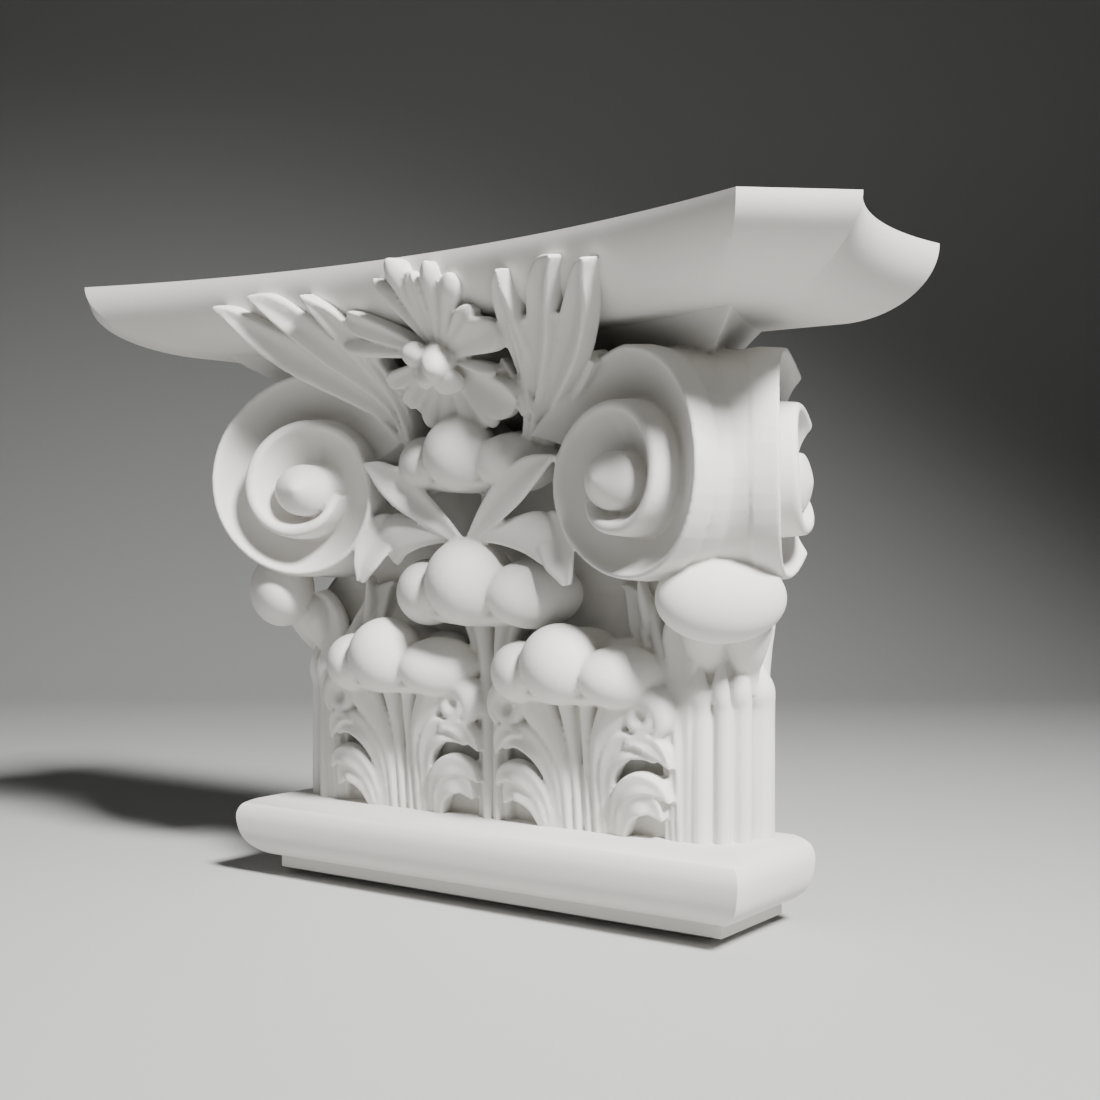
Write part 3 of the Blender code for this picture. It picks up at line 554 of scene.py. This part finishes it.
@dataclass(frozen=True)
class CornerLeaf:
    """The ribbed leaf that wraps a corner and carries a big egg under the two volutes.

    Attributes:
        cap_shape: Along the top of a rib, how far up from the cap and how far forward, in
            millimetres, and its share of the rib's width.
        ribs: For each rib, its x, out and width in millimetres.
        cups: The two lobes that carry the egg, each a path of (x, out, z, width) in millimetres.
        sheet: The smooth sheet beside the ribs.
        bands: The three thin bands that hug the sheet and lean away from it.
        spur: The sheet that the bands run into.
        spike: The pointed tip over it.
    """

    berry_place: Point = (179 * MM, 77.5 * MM, 204 * MM)
    berry_sizes: Point = (23 * MM, 39.5 * MM, 26.5 * MM)
    cap: float = 161 * MM
    cap_shape: tuple = ((-28, 0, 1.0), (-16, 2.5, 1.12), (-8, 3, 0.95), (0, 1.5, 0.5), (5, -1, 0.2))
    ribs: tuple = ((153.5, 57, 13), (166.5, 52.5, 10.5), (173, 40, 13), (172, 20, 24))
    cups: tuple = (
        ((155, 42, 145, 14), (156, 47, 160, 18), (157, 58, 176, 27), (161, 65, 189, 32), (165, 68, 198, 16)),
        ((170, 32, 145, 16), (172, 36, 160, 20), (178, 45, 176, 28), (181, 50, 189, 32), (180, 55, 198, 16)),
        ((166, 12, 142, 20), (166, 12, 165, 22), (167, 12, 190, 26), (167, 14, 202, 20)),
    )
    sheet: tuple = ((145, 56, 50, 3, 4), (145, 57, 100, 4, 5), (144, 58, 130, 6, 7), (144, 58, 155, 10, 10),
                    (146, 60, 178, 16, 14), (149, 62, 193, 11, 12), (153, 64, 203, 3, 5))
    bands: tuple = (
        ((132, 58, 50, 2.4, 2.4), (131.5, 59, 95, 2.4, 2.4), (129, 60, 128, 2.6, 2.6), (122, 59, 152, 3, 3),
         (110, 56, 174, 3, 3), (102, 50, 188, 2, 2)),
        ((137, 59, 50, 2.2, 2.2), (136.5, 61, 95, 2.4, 2.4), (135, 62, 126, 2.8, 2.8), (128, 61, 152, 3.4, 3.4),
         (117, 58, 174, 3.6, 3.6), (108, 51, 190, 2, 2)),
        ((141.5, 60, 50, 2, 2), (141, 62, 98, 2.2, 2.2), (139.5, 63, 128, 3, 3), (133, 62, 156, 4, 4),
         (124, 59, 180, 4, 4), (118, 52, 198, 2, 2)),
    )
    spur: tuple = ((124, 56, 162, 8, 9), (115, 54, 182, 12, 12), (107, 53, 197, 9, 10), (99, 52, 207, 3, 4),
                   (94, 52, 210, 0.7, 0.7))
    spike: tuple = ((117, 55, 180, 5, 5), (113, 58, 200, 4, 4), (112, 60, 214, 0.7, 0.7))

    def build(self, clay: Clay) -> None:
        """Add the ribs, the cups, the sheet, the bands and the egg."""
        for x, out, width in self.ribs:
            knots = [(x, out + more, self.cap / MM + up, share * width) for up, more, share in self.cap_shape]
            knots = [(x, out, (BED_TOP - SINK) / MM, width), (x, out, 100, width)] + knots
            clay.strand(knots, flatness=0.85, sides=12)
        for path in self.cups:
            clay.strand(path, flatness=0.9, sides=28)
        clay.blade(self.sheet, 0.12, thick=12)
        for path in self.bands:
            clay.blade(path, -0.25, thick=5, behind=8)
        clay.blade(self.spur, 0.12, thick=4, behind=6)
        clay.blade(self.spike, -0.3, thick=4, behind=6)
        clay.ball(self.berry_place, self.berry_sizes, turned=Matrix.Rotation(math.radians(-45), 4, "Z"), sides=48)


@dataclass(frozen=True)
class LowLeaf:
    """The acanthus leaf under each low head, its halves alike about its own middle.

    Attributes:
        body: The sheet under the blades: share of the rise, width and stand of its face.
        blades: For each strand, lobe or finger of half the leaf, its fold, its thickness and its
            knots: side, swell and rise in shares, and its half width in millimetres.
        ear: The ring round the drilled hollow of the ear: side, swell and rise of its middle in
            shares, its radius and the width of its roll in millimetres.
        dimple: The floor of that hollow: how far behind and below the ring its middle lies, and
            its radius and half depth, in millimetres.
    """

    x: float = 73 * MM
    half_width: float = 65.5 * MM
    height: float = 104 * MM
    swell: float = 16 * MM
    body: tuple = ((-0.06, 46, 56), (0.2, 58, 58), (0.4, 78, 62), (0.62, 84, 67), (0.8, 84, 69), (0.97, 66, 69))
    blades: tuple = (
        (-0.25, 7, ((0.06, 0, -0.06, 3.2), (0.08, 0.3, 0.45, 3.6), (0.13, 0.75, 0.8, 5.5), (0.17, 0.85, 1.0, 8))),
        (-0.2, 8, ((0.17, 0, -0.06, 3.4), (0.19, 0.3, 0.3, 4.2), (0.27, 0.7, 0.55, 7), (0.45, 0.95, 0.74, 11.5),
                   (0.60, 0.95, 0.86, 9), (0.76, 0.95, 0.86, 8), (0.90, 0.88, 0.80, 8), (0.95, 0.78, 0.70, 6),
                   (0.90, 0.7, 0.62, 3))),
        (0.2, 7, ((0.60, 0.95, 0.56, 1), (0.70, 0.92, 0.585, 4), (0.82, 0.8, 0.575, 6), (0.92, 0.6, 0.52, 5),
                  (1.0, 0.35, 0.43, 1))),
        (0.16, 7, ((0.28, 0, -0.06, 3.4), (0.30, 0.3, 0.22, 4.2), (0.38, 0.65, 0.42, 7), (0.55, 0.82, 0.54, 9),
                   (0.74, 0.72, 0.535, 6.5), (0.88, 0.5, 0.48, 3))),
        (0.14, 7, ((0.39, 0, -0.06, 3.6), (0.42, 0.35, 0.14, 4.5), (0.52, 0.65, 0.26, 6.5), (0.70, 0.75, 0.33, 7),
                   (0.88, 0.6, 0.31, 5), (1.0, 0.35, 0.23, 1))),
        (0.14, 7, ((0.45, 0.2, 0.0, 3.6), (0.52, 0.45, 0.13, 6), (0.66, 0.6, 0.21, 8), (0.80, 0.5, 0.21, 7.5),
                   (0.91, 0.25, 0.12, 1))),
    )
    ear: tuple[float, ...] = (0.76, 0.86, 0.725, 7.4, 8.5)
    dimple: tuple[float, ...] = (4, 3, 12, 5)

    def place(self, side: float, swell: float, rise: float) -> Point:
        """Return the millimetre place (x, out, z) of a point given in shares of the leaf."""
        return ((self.x + side * self.half_width) / MM, (LEAF_OUT - 1 * MM + swell * self.swell) / MM,
                (BED_TOP + rise * self.height) / MM)

    def build(self, clay: Clay) -> None:
        """Add the sheet, then the blades of both halves."""
        clay.rod([(self.x, (out - 6) * MM, BED_TOP + rise * self.height) for rise, _, out in self.body],
                 [width * MM for _, width, _ in self.body], flatness=0.12, sides=32)
        for sign in (-1, 1):
            for fold, thick, knots in self.blades:
                clay.blade([(*self.place(sign * side, swell, rise), half, half) for side, swell, rise, half in knots],
                           fold, thick, behind=6)
            side, swell, rise, radius, roll = self.ear
            x, out, z = self.place(sign * side, swell, rise)
            turns = [2 * math.pi * k / 8 for k in range(9)]
            ring = [(x + radius * math.cos(turn), out, z + radius * math.sin(turn), roll) for turn in turns]
            clay.strand(ring, flatness=1.0)
            behind, below, round_about, deep = self.dimple
            clay.ball((x * MM, (out - behind) * MM, (z - below) * MM),
                      (round_about * MM, deep * MM, round_about * MM))


@dataclass(frozen=True)
class Stalk:
    """The stalk of the middle head: two strands with a dark line between, spreading at the top.

    Attributes:
        strands: Knots (x, out, z, half width) of the two strands, in millimetres.
        flanks: The same for the thinner strands beside them.
        stem: Knots (x, out, z, width) of the upright stem behind the top head.
    """

    strands: tuple = (
        ((-4.6, 61, 50, 4.2), (-4.8, 61, 110, 4.4), (-6, 62, 160, 5.2), (-13, 64, 198, 9)),
        ((4.6, 61, 50, 4.2), (4.8, 61, 110, 4.4), (6, 62, 160, 5.2), (13, 64, 198, 9)),
    )
    flanks: tuple = (
        ((-10.5, 58, 50, 3), (-10.8, 58, 120, 3), (-14, 60, 165, 4), (-24, 62, 196, 6)),
        ((10.5, 58, 50, 3), (10.8, 58, 120, 3), (14, 60, 165, 4), (24, 62, 196, 6)),
    )
    stem: tuple = ((0, 66, 236, 12), (2, 68, 262, 13), (3, 68, 290, 16))

    def build(self, clay: Clay) -> None:
        """Add the strands, their flanks and the upright stem behind the top head."""
        for path in self.strands + self.flanks:
            clay.blade([(*knot, knot[-1]) for knot in path], -0.3, thick=8, behind=6, paired=False)
        clay.strand(self.stem, paired=False)


@dataclass(frozen=True)
class UpperLeaves:
    """The leaves that spring from the top of the middle head, a raised and a drooping one each side.

    Attributes:
        raised: Knots (x, out, z) of the upper leaf and its reach to the left and right, in millimetres.
        drooping: The same for the leaf that bends down.
        flap: The same for its hanging end.
    """

    raised: tuple = ((4, 92, 238, 3, 3), (22, 96, 254, 8, 9), (42, 100, 270, 11, 13), (60, 102, 282, 9, 10),
                     (77, 102, 290, 1, 1))
    drooping: tuple = ((6, 91, 240, 3, 3), (24, 93, 243, 6, 7), (42, 94, 244, 10, 12), (57, 93, 243, 14, 17),
                       (68, 90, 239, 13, 19))
    flap: tuple = ((62, 88, 250, 8, 8), (70, 92, 245, 12, 15), (77, 95, 235, 12, 16), (82, 98, 223, 8, 13),
                   (85, 98, 211, 2, 4))

    def build(self, clay: Clay) -> None:
        """Add the leaves with their folds."""
        clay.blade(self.raised, 0.2, thick=6)
        clay.blade(self.drooping, -0.12, thick=7)
        clay.blade(self.flap, 0.15, thick=5)


@dataclass(frozen=True)
class Fan:
    """The leaf that rises beside the flower and spreads in three pointed lobes on the abacus.

    Attributes:
        lobes: For each lobe, its knots (x, out, z) and reach to the left and right in millimetres.
        veins: For each ridge between the lobes, its knots (x, out, z) and half width.
        web: The plain part that follows the top of the volute.
    """

    lobes: tuple = (
        ((47, 86, 301, 3, 3), (51, 92, 325, 4, 5), (57, 106, 346, 6, 8), (63, 127, 366, 8, 9), (70, 145, 381, 8, 7),
         (76, 157, 390, 4, 3), (79, 161, 395, 0.7, 0.7)),
        ((49, 86, 301, 3, 3), (58, 94, 327, 5, 6), (70, 110, 347, 8, 9), (84, 128, 364, 9, 11),
         (99, 147, 380, 11, 9), (112, 160, 391, 9, 5), (121, 167, 397, 1, 1)),
        ((51, 85, 301, 3, 3), (66, 92, 323, 6, 6), (86, 108, 341, 9, 10), (107, 128, 358, 11, 13),
         (126, 149, 374, 9, 11), (139, 165, 386, 6, 5), (147, 173, 392, 1, 1)),
    )
    veins: tuple = (
        ((48, 89, 301, 2), (54, 97, 328, 2), (65, 115, 354, 2.4), (78, 132, 371, 2)),
        ((50, 89, 301, 2), (62, 97, 328, 2), (80, 116, 351, 2.4), (102, 138, 371, 2)),
        ((46, 90, 301, 1.5), (52, 96, 326, 1.8), (59, 113, 351, 1.8), (65, 132, 370, 1)),
    )
    web: tuple = ((52, 82, 301, 6, 5), (70, 86, 322, 8, 7), (90, 95, 337, 9, 8), (108, 107, 348, 4, 5))

    def build(self, clay: Clay) -> None:
        """Add the lobes, the ridges between them and the web."""
        for path in self.lobes:
            clay.blade(path, 0.16, thick=5, behind=14)
        for path in self.veins:
            clay.blade([(*knot, knot[-1]) for knot in path], -0.5, thick=4, behind=6)
        clay.blade(self.web, 0.1, thick=5, behind=16)


@dataclass(frozen=True)
class Fleuron:
    """The open flower in the middle of the abacus, which leans forward over the top head.

    Attributes:
        petals: For each, degrees from the top, length in radii, width in millimetres and fold.
        stations: Along each petal, shares of its length and width, and how far forward it is in
            millimetres.
        sprigs: The small leaves under the flower, their knots in millimetres.
        thread: The stamen that lies out to the right, a path of (x, out, z, width) in millimetres.
        pads: For each pad of the bud, its place and half sizes in bud radii, and its turn.
    """

    radius: float = 68 * MM
    height: float = 353 * MM
    out: float = 117 * MM
    lean: float = math.radians(33.7)
    bud: float = 17.5 * MM
    petals: tuple = (
        (-4, 1.04, 18, -0.3), (-20, 0.92, 8, -0.4), (7, 0.90, 9, 0.3), (19, 1.02, 13, -0.35),
        (33, 0.98, 15, -0.3), (50, 0.78, 12, 0.2), (70, 0.84, 24, 0.12), (103, 0.62, 7, -0.4),
        (125, 0.84, 30, 0.24), (149, 0.78, 20, -0.28), (169, 0.74, 19, -0.28), (-171, 0.72, 19, -0.28),
        (-151, 0.72, 18, -0.28), (-128, 0.66, 14, 0.2), (-104, 0.66, 13, 0.2), (-76, 1.0, 13, -0.35),
        (-56, 0.98, 18, 0.26),
    )
    stations: tuple = ((0.08, 0.30, -3), (0.40, 0.62, 0), (0.68, 0.92, 3), (0.86, 1.0, 5), (0.96, 0.72, 4.5),
                       (1.0, 0.30, 3))
    pads: tuple = ((0.27, 0.20, 0.46, 0.76, -22), (-0.50, 0.52, 0.46, 0.42, 0), (-0.50, -0.30, 0.30, 0.54, -28),
                   (0.48, -0.66, 0.58, 0.32, -15))
    sprigs: tuple = (
        ((-26, 98, 320, 2, 2), (-42, 101, 336, 4, 4), (-56, 104, 347, 3.5, 3.5), (-63, 105, 352, 0.7, 0.7)),
        ((-24, 99, 324, 1.5, 1.5), (-37, 102, 337, 3, 3), (-47, 104, 346, 2.5, 2.5), (-52, 105, 350, 0.7, 0.7)),
        ((51, 96, 316, 2, 2), (47, 101, 330, 4, 4), (43, 104, 343, 3.5, 3.5), (40, 106, 352, 1, 1)),
        ((56, 96, 318, 1.5, 1.5), (54, 100, 330, 3, 3), (51, 103, 340, 0.7, 0.7)),
    )
    thread: tuple = ((9, 116, 351, 6), (24, 110, 347, 5), (36, 106, 344, 4.5), (41, 106, 342, 7))

    def on_flower(self, across: float, rise: float, forward: float) -> Point:
        """Return (x, out, z) of a point across, up and forward from the flower's middle."""
        up = Vector((0, -math.sin(self.lean), math.cos(self.lean)))
        offset = up * rise + self.ahead() * forward
        return across, self.out - offset.y, self.height + offset.z

    def ahead(self) -> Vector:
        """Return the way the flower faces."""
        return Vector((0, -math.cos(self.lean), -math.sin(self.lean)))

    def build(self, clay: Clay) -> None:
        """Add the petals, the sprigs, the stamen, the core and the bud."""
        for degrees, length, width, fold in self.petals:
            turn = math.radians(degrees)
            reach = length * self.radius
            knots = []
            for share, wide, forward in self.stations:
                place = self.on_flower(math.sin(turn) * reach * share, math.cos(turn) * reach * share, forward * MM)
                knots.append((*(c / MM for c in place), wide * width / 2, wide * width / 2))
            clay.blade(knots, fold, thick=7, behind=8, face=self.ahead(), paired=False)
        for path in self.sprigs:
            clay.blade(path, 0.25, thick=4, behind=10, paired=False)
        clay.strand(self.thread, paired=False)
        core = 0.5 * self.radius
        clay.rod(((0, WAIST_OUT - SINK, self.height - 0.2 * core), (0, self.out - 0.5 * core, self.height),
                  (0, self.out, self.height)), (2.2 * core, 1.6 * core, 0.7 * core), flatness=1.0,
                 face=UPWARD, paired=False, sides=32)
        tilt = Matrix.Rotation(-self.lean, 4, "X")
        clay.ball(self.on_flower(0, 0, 0.35 * self.bud), (0.86 * self.bud, 0.5 * self.bud, 0.98 * self.bud), False,
                  tilt)
        for across, rise, half_width, half_height, degrees in self.pads:
            place = self.on_flower(across * self.bud, rise * self.bud, 0.62 * self.bud)
            clay.ball(place, (half_width * self.bud, 0.5 * self.bud, half_height * self.bud), False,
                      tilt @ Matrix.Rotation(math.radians(degrees), 4, "Y"), square=0.8)


def linear(hex_colour: str) -> tuple[float, float, float, float]:
    """Turn an sRGB hex colour into linear red, green, blue and alpha."""
    channels = [int(hex_colour[i:i + 2], 16) / 255 for i in (1, 3, 5)]
    return (*(c / 12.92 if c <= 0.04045 else ((c + 0.055) / 1.055) ** 2.4 for c in channels), 1.0)


def add_node(tree: bpy.types.NodeTree, kind: str, settings: dict | None = None,
             links: dict | None = None) -> bpy.types.Node:
    """Add a node to a material.

    Args:
        tree: The node tree.
        kind: The node's type name.
        settings: Values by attribute name, or by input name or index.
        links: The output sockets that feed its inputs, by input name or index.

    Returns:
        The node.
    """
    node = tree.nodes.new(kind)
    for key, value in (settings or {}).items():
        if isinstance(key, str) and hasattr(node, key):
            setattr(node, key, value)
        else:
            node.inputs[key].default_value = value
    for key, socket in (links or {}).items():
        tree.links.new(socket, node.inputs[key])
    return node


@dataclass(frozen=True)
class CastPlaster:
    """Gypsum plaster cast in a flexible mould: dead white, matt, with a fine chalky grain, and painted shade in its
    hollows.

    Attributes:
        face: Colour of the skin, a soft neutral white.
        hollow: Colour of the painted shade that darkens the hollows and creases, a warm grey.
        painted_crease_shade: Pointiness below which the colour is all painted hollow shade, and at which that painted
            shade is gone.
        roughness: Gypsum scatters light evenly, so it has no gloss.
        ior: Of gypsum.
        grain_mm: Size of the sandy grain, drawn coarser than the real 0.1 mm so that it shows.
        wave_mm: Width of the soft unevenness that hand finishing leaves.
    """

    face: str = "#DDDBD7"
    # Painted shade: the hollow colour darkens concave places, and the pointiness range below sets where it fades out.
    hollow: str = "#C4C0B9"
    painted_crease_shade: tuple[float, float] = (0.44, 0.52)
    roughness: float = 0.88
    ior: float = 1.52
    grain_mm: float = 0.9
    wave_mm: float = 45.0

    def material(self) -> bpy.types.Material:
        """Return the material with its colour, painted hollow shade, roughness and bump."""
        made = bpy.data.materials.new("Cast gypsum plaster")
        made.use_nodes = True
        tree = made.node_tree
        tree.nodes.clear()
        place = add_node(tree, "ShaderNodeTexCoord").outputs["Object"]
        grain = add_node(tree, "ShaderNodeTexNoise", {"Scale": 1 / (self.grain_mm * MM), "Detail": 3.0},
                         {"Vector": place}).outputs["Fac"]
        wave = add_node(tree, "ShaderNodeTexNoise", {"Scale": 1 / (self.wave_mm * MM), "Detail": 2.0},
                        {"Vector": place}).outputs["Fac"]
        # Painted shade: where pointiness is low, in hollows and creases, the colour is pulled towards the darker
        # hollow colour; the broad noise adds real uneven tone.
        sharpness = add_node(tree, "ShaderNodeNewGeometry").outputs["Pointiness"]
        painted_crease_shade = add_node(tree, "ShaderNodeMapRange", {"From Min": self.painted_crease_shade[0], "From Max": self.painted_crease_shade[1]},
                        {"Value": sharpness}).outputs["Result"]
        tone_and_painted_shade = add_node(tree, "ShaderNodeMath", {"operation": "MULTIPLY_ADD", 1: 0.35}, {0: wave, 2: painted_crease_shade})
        colour = add_node(tree, "ShaderNodeMix", {"data_type": "RGBA", "clamp_factor": True, 6: linear(self.hollow),
                                                  7: linear(self.face)}, {0: tone_and_painted_shade.outputs[0]})
        low, high = self.roughness - 0.05, self.roughness + 0.05
        dull = add_node(tree, "ShaderNodeMapRange", {"To Min": low, "To Max": high}, {"Value": wave}).outputs["Result"]
        fine = add_node(tree, "ShaderNodeBump", {"Strength": 0.25, "Distance": 0.15 * MM}, {"Height": grain})
        soft = add_node(tree, "ShaderNodeBump", {"Strength": 0.3, "Distance": 1.0 * MM},
                        {"Height": wave, "Normal": fine.outputs["Normal"]})
        shader = add_node(tree, "ShaderNodeBsdfPrincipled", {"IOR": self.ior, "Specular IOR Level": 0.3},
                          {"Base Color": colour.outputs[2], "Roughness": dull, "Normal": soft.outputs["Normal"]})
        add_node(tree, "ShaderNodeOutputMaterial", None, {"Surface": shader.outputs["BSDF"]})
        return made


@dataclass(frozen=True)
class PaleFloor:
    """The plain pale floor of a photographer's studio."""

    colour: str = "#B9B9B7"

    def material(self) -> bpy.types.Material:
        """Return the matt floor paint."""
        made = bpy.data.materials.new("Studio floor paint")
        made.use_nodes = True
        shader = made.node_tree.nodes["Principled BSDF"]
        shader.inputs["Base Color"].default_value = linear(self.colour)
        shader.inputs["Roughness"].default_value = 0.9
        return made


@dataclass(frozen=True)
class Melt:
    """How the shells of the carving become one skin, as a plaster cast is one skin.

    Attributes:
        voxel: Size of the cells that they are melted in.
        smoothing: Rounds of softening.
        target: About how many triangles are kept.
        wall_trim: How far in front of the wall the back is cut.
    """

    voxel: float = 1.15 * MM
    smoothing: int = 3
    target: int = 165_000
    wall_trim: float = 0.1 * MM

    def skin(self, clay: Clay) -> bpy.types.Mesh:
        """Melt the shells, soften them and cut them at the wall.

        Args:
            clay: The shells.

        Returns:
            The mesh of the carving.
        """
        holder = bpy.data.objects.new("Shells", clay.mesh("Shells"))
        bpy.context.scene.collection.objects.link(holder)
        remesh = holder.modifiers.new("Melt", "REMESH")
        remesh.mode = "VOXEL"
        remesh.voxel_size = self.voxel
        smooth = holder.modifiers.new("Soften", "SMOOTH")
        smooth.factor = 0.5
        smooth.iterations = self.smoothing
        count = self.triangles(holder)
        thin = holder.modifiers.new("Thin", "DECIMATE")
        thin.ratio = min(1.0, self.target / count)
        depsgraph = bpy.context.evaluated_depsgraph_get()
        data = bpy.data.meshes.new_from_object(holder.evaluated_get(depsgraph))
        bpy.data.objects.remove(holder, do_unlink=True)
        mesh = bmesh.new()
        mesh.from_mesh(data)
        geometry = mesh.verts[:] + mesh.edges[:] + mesh.faces[:]
        bmesh.ops.bisect_plane(mesh, geom=geometry, plane_co=(0, WALL_Y - self.wall_trim, 0), plane_no=(0, 1, 0),
                               clear_outer=True)
        rim = [edge for edge in mesh.edges if len(edge.link_faces) == 1]
        bmesh.ops.triangle_fill(mesh, edges=rim, use_beauty=True, normal=(0, 1, 0))
        mesh.to_mesh(data)
        mesh.free()
        return data

    @staticmethod
    def triangles(thing: bpy.types.Object) -> int:
        """Return how many triangles an object has with its modifiers."""
        data = thing.evaluated_get(bpy.context.evaluated_depsgraph_get()).to_mesh()
        data.calc_loop_triangles()
        return len(data.loop_triangles)


@dataclass(frozen=True)
class Capital:
    """The whole capital, one plaster cast.

    Attributes:
        heads: The low heads, the middle head and the top head.
        crease: Edges that turn by more than this stay crisp.
    """

    block: Block = Block()
    melt: Melt = Melt()
    finish: CastPlaster = CastPlaster()
    heads: tuple[BerryHead, ...] = (BerryHead((71.5 * MM, 87 * MM, 161.6 * MM), 26 * MM, True),
                                    BerryHead((0.0, 87 * MM, 212 * MM), 29.5 * MM, False),
                                    BerryHead((0.0, 95 * MM, 294.5 * MM), 25.4 * MM, False))
    crease: float = math.radians(38)

    def carving(self) -> Clay:
        """Return all the carved shells and the bell that they grow from."""
        clay = Clay()
        self.block.bell(clay)
        self.block.lip(clay)
        for form in (Volute(Facing.FRONT), Volute(Facing.SIDE), *self.heads, CornerLeaf(), LowLeaf(), Stalk(),
                     UpperLeaves(), Fan(), Fleuron()):
            before = len(clay.faces)
            form.build(clay)
            log.info("%s: %d faces", type(form).__name__, len(clay.faces) - before)
        return clay

    def build(self) -> bpy.types.Object:
        """Return the dressed capital."""
        relief = self.melt.skin(self.carving())
        crisp = Clay()
        self.block.bed(crisp)
        self.block.abacus(crisp)
        joined = bmesh.new()
        joined.from_mesh(crisp.mesh("Crisp"))
        bmesh.ops.recalc_face_normals(joined, faces=joined.faces)
        joined.from_mesh(relief)
        bmesh.ops.triangulate(joined, faces=joined.faces)
        for face in joined.faces:
            face.smooth = True
        for edge in joined.edges:
            if len(edge.link_faces) == 2 and edge.calc_face_angle() > self.crease:
                edge.smooth = False
        data = bpy.data.meshes.new("Pilaster_capital")
        joined.to_mesh(data)
        joined.free()
        data.materials.append(self.finish.material())
        capital = bpy.data.objects.new("Pilaster_capital", data)
        bpy.context.scene.collection.objects.link(capital)
        log.info("capital: %d triangles", len(data.polygons))
        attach(capital, "root")
        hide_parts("capital")
        return capital


@dataclass(frozen=True)
class Lamp:
    """A soft square light behind a grid.

    Attributes:
        name: What it is called.
        place: Where it hangs.
        power: Its watts.
        size: Length of its sides.
        spread: Degrees that the grid lets through.
    """

    name: str
    place: Point
    power: float
    size: float
    spread: float

    def build(self, target: Vector) -> None:
        """Hang the light and turn it to the target."""
        data = bpy.data.lights.new(self.name, "AREA")
        data.energy = self.power
        data.size = self.size
        data.spread = math.radians(self.spread)
        lamp = bpy.data.objects.new(self.name, data)
        lamp.location = self.place
        aim = target - Vector(self.place)
        lamp.rotation_euler = aim.to_track_quat("-Z", "Y").to_euler()
        bpy.context.scene.collection.objects.link(lamp)


@dataclass(frozen=True)
class Studio:
    """A pale floor that curves up behind, soft lights and the camera.

    Attributes:
        floor_half: Half the width of the floor.
        floor_front: Where it ends in front of the capital.
        floor_back: Where the backdrop stands behind it.
        floor_bend: Radius of the curve between floor and backdrop.
        backdrop: Height of the backdrop.
        lamps: A key light high on the right and a weak fill on the left.
        target: What the lamps look at, the middle of the capital.
        surround: Colour and strength of the pale surroundings.
    """

    camera_place: Point = (612.3 * MM, -766.55 * MM, 232.3 * MM)
    camera_turn: float = math.radians(35.263)
    lens: float = 50.0
    sensor: float = 36.0
    floor_half: float = 6.0
    floor_front: float = -5.0
    floor_back: float = 2.6
    floor_bend: float = 1.2
    backdrop: float = 5.0
    lamps: tuple[Lamp, ...] = (Lamp("Key light", (1.72, -0.74, 1.95), 33, 0.45, 70),
                               Lamp("Fill light", (-1.2, -2.0, 1.3), 2.2, 1.2, 120))
    target: Point = (0, 0, 0.22)
    surround: tuple[str, float] = ("#E8EAEC", 0.045)

    def floor(self) -> None:
        """Add the floor, which curves up into a backdrop."""
        mesh = bmesh.new()
        steps, bend_start = 16, self.floor_back - self.floor_bend
        profile = [(self.floor_front, 0.0), (bend_start, 0.0)]
        profile += [(bend_start + self.floor_bend * math.sin(t), self.floor_bend * (1 - math.cos(t)))
                    for t in (math.pi / 2 * k / steps for k in range(1, steps + 1))]
        profile.append((self.floor_back, self.backdrop))
        rows = [[mesh.verts.new((side * self.floor_half, y, z)) for side in (-1, 1)] for y, z in profile]
        for lower, upper in zip(rows, rows[1:]):
            face = mesh.faces.new((lower[0], lower[1], upper[1], upper[0]))
            face.smooth = True
        turned = Matrix.Rotation(self.camera_turn, 4, "Z")
        bmesh.ops.transform(mesh, matrix=turned, verts=mesh.verts)
        data = bpy.data.meshes.new("Studio_floor")
        mesh.to_mesh(data)
        mesh.free()
        data.materials.append(PaleFloor().material())
        floor = bpy.data.objects.new("Studio_floor", data)
        bpy.context.scene.collection.objects.link(floor)

    def build(self) -> None:
        """Add the floor, the lights, the pale surroundings and the camera."""
        self.floor()
        for lamp in self.lamps:
            lamp.build(Vector(self.target))
        colour, strength = self.surround
        world = bpy.data.worlds.new("Studio")
        world.use_nodes = True
        world.node_tree.nodes["Background"].inputs["Color"].default_value = linear(colour)
        world.node_tree.nodes["Background"].inputs["Strength"].default_value = strength
        bpy.context.scene.world = world
        camera = bpy.data.objects.new("Camera", bpy.data.cameras.new("Camera"))
        camera.data.lens = self.lens
        camera.data.sensor_width = self.sensor
        camera.location = self.camera_place
        camera.rotation_euler = (math.pi / 2, 0, self.camera_turn)
        bpy.context.scene.collection.objects.link(camera)
        bpy.context.scene.camera = camera


def main() -> None:
    """Build the capital and the studio round it."""
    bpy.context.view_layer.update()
    Capital().build()
    Studio().build()
    log.info("studio: floor, lights and camera")


if __name__ == "__main__":
    main()
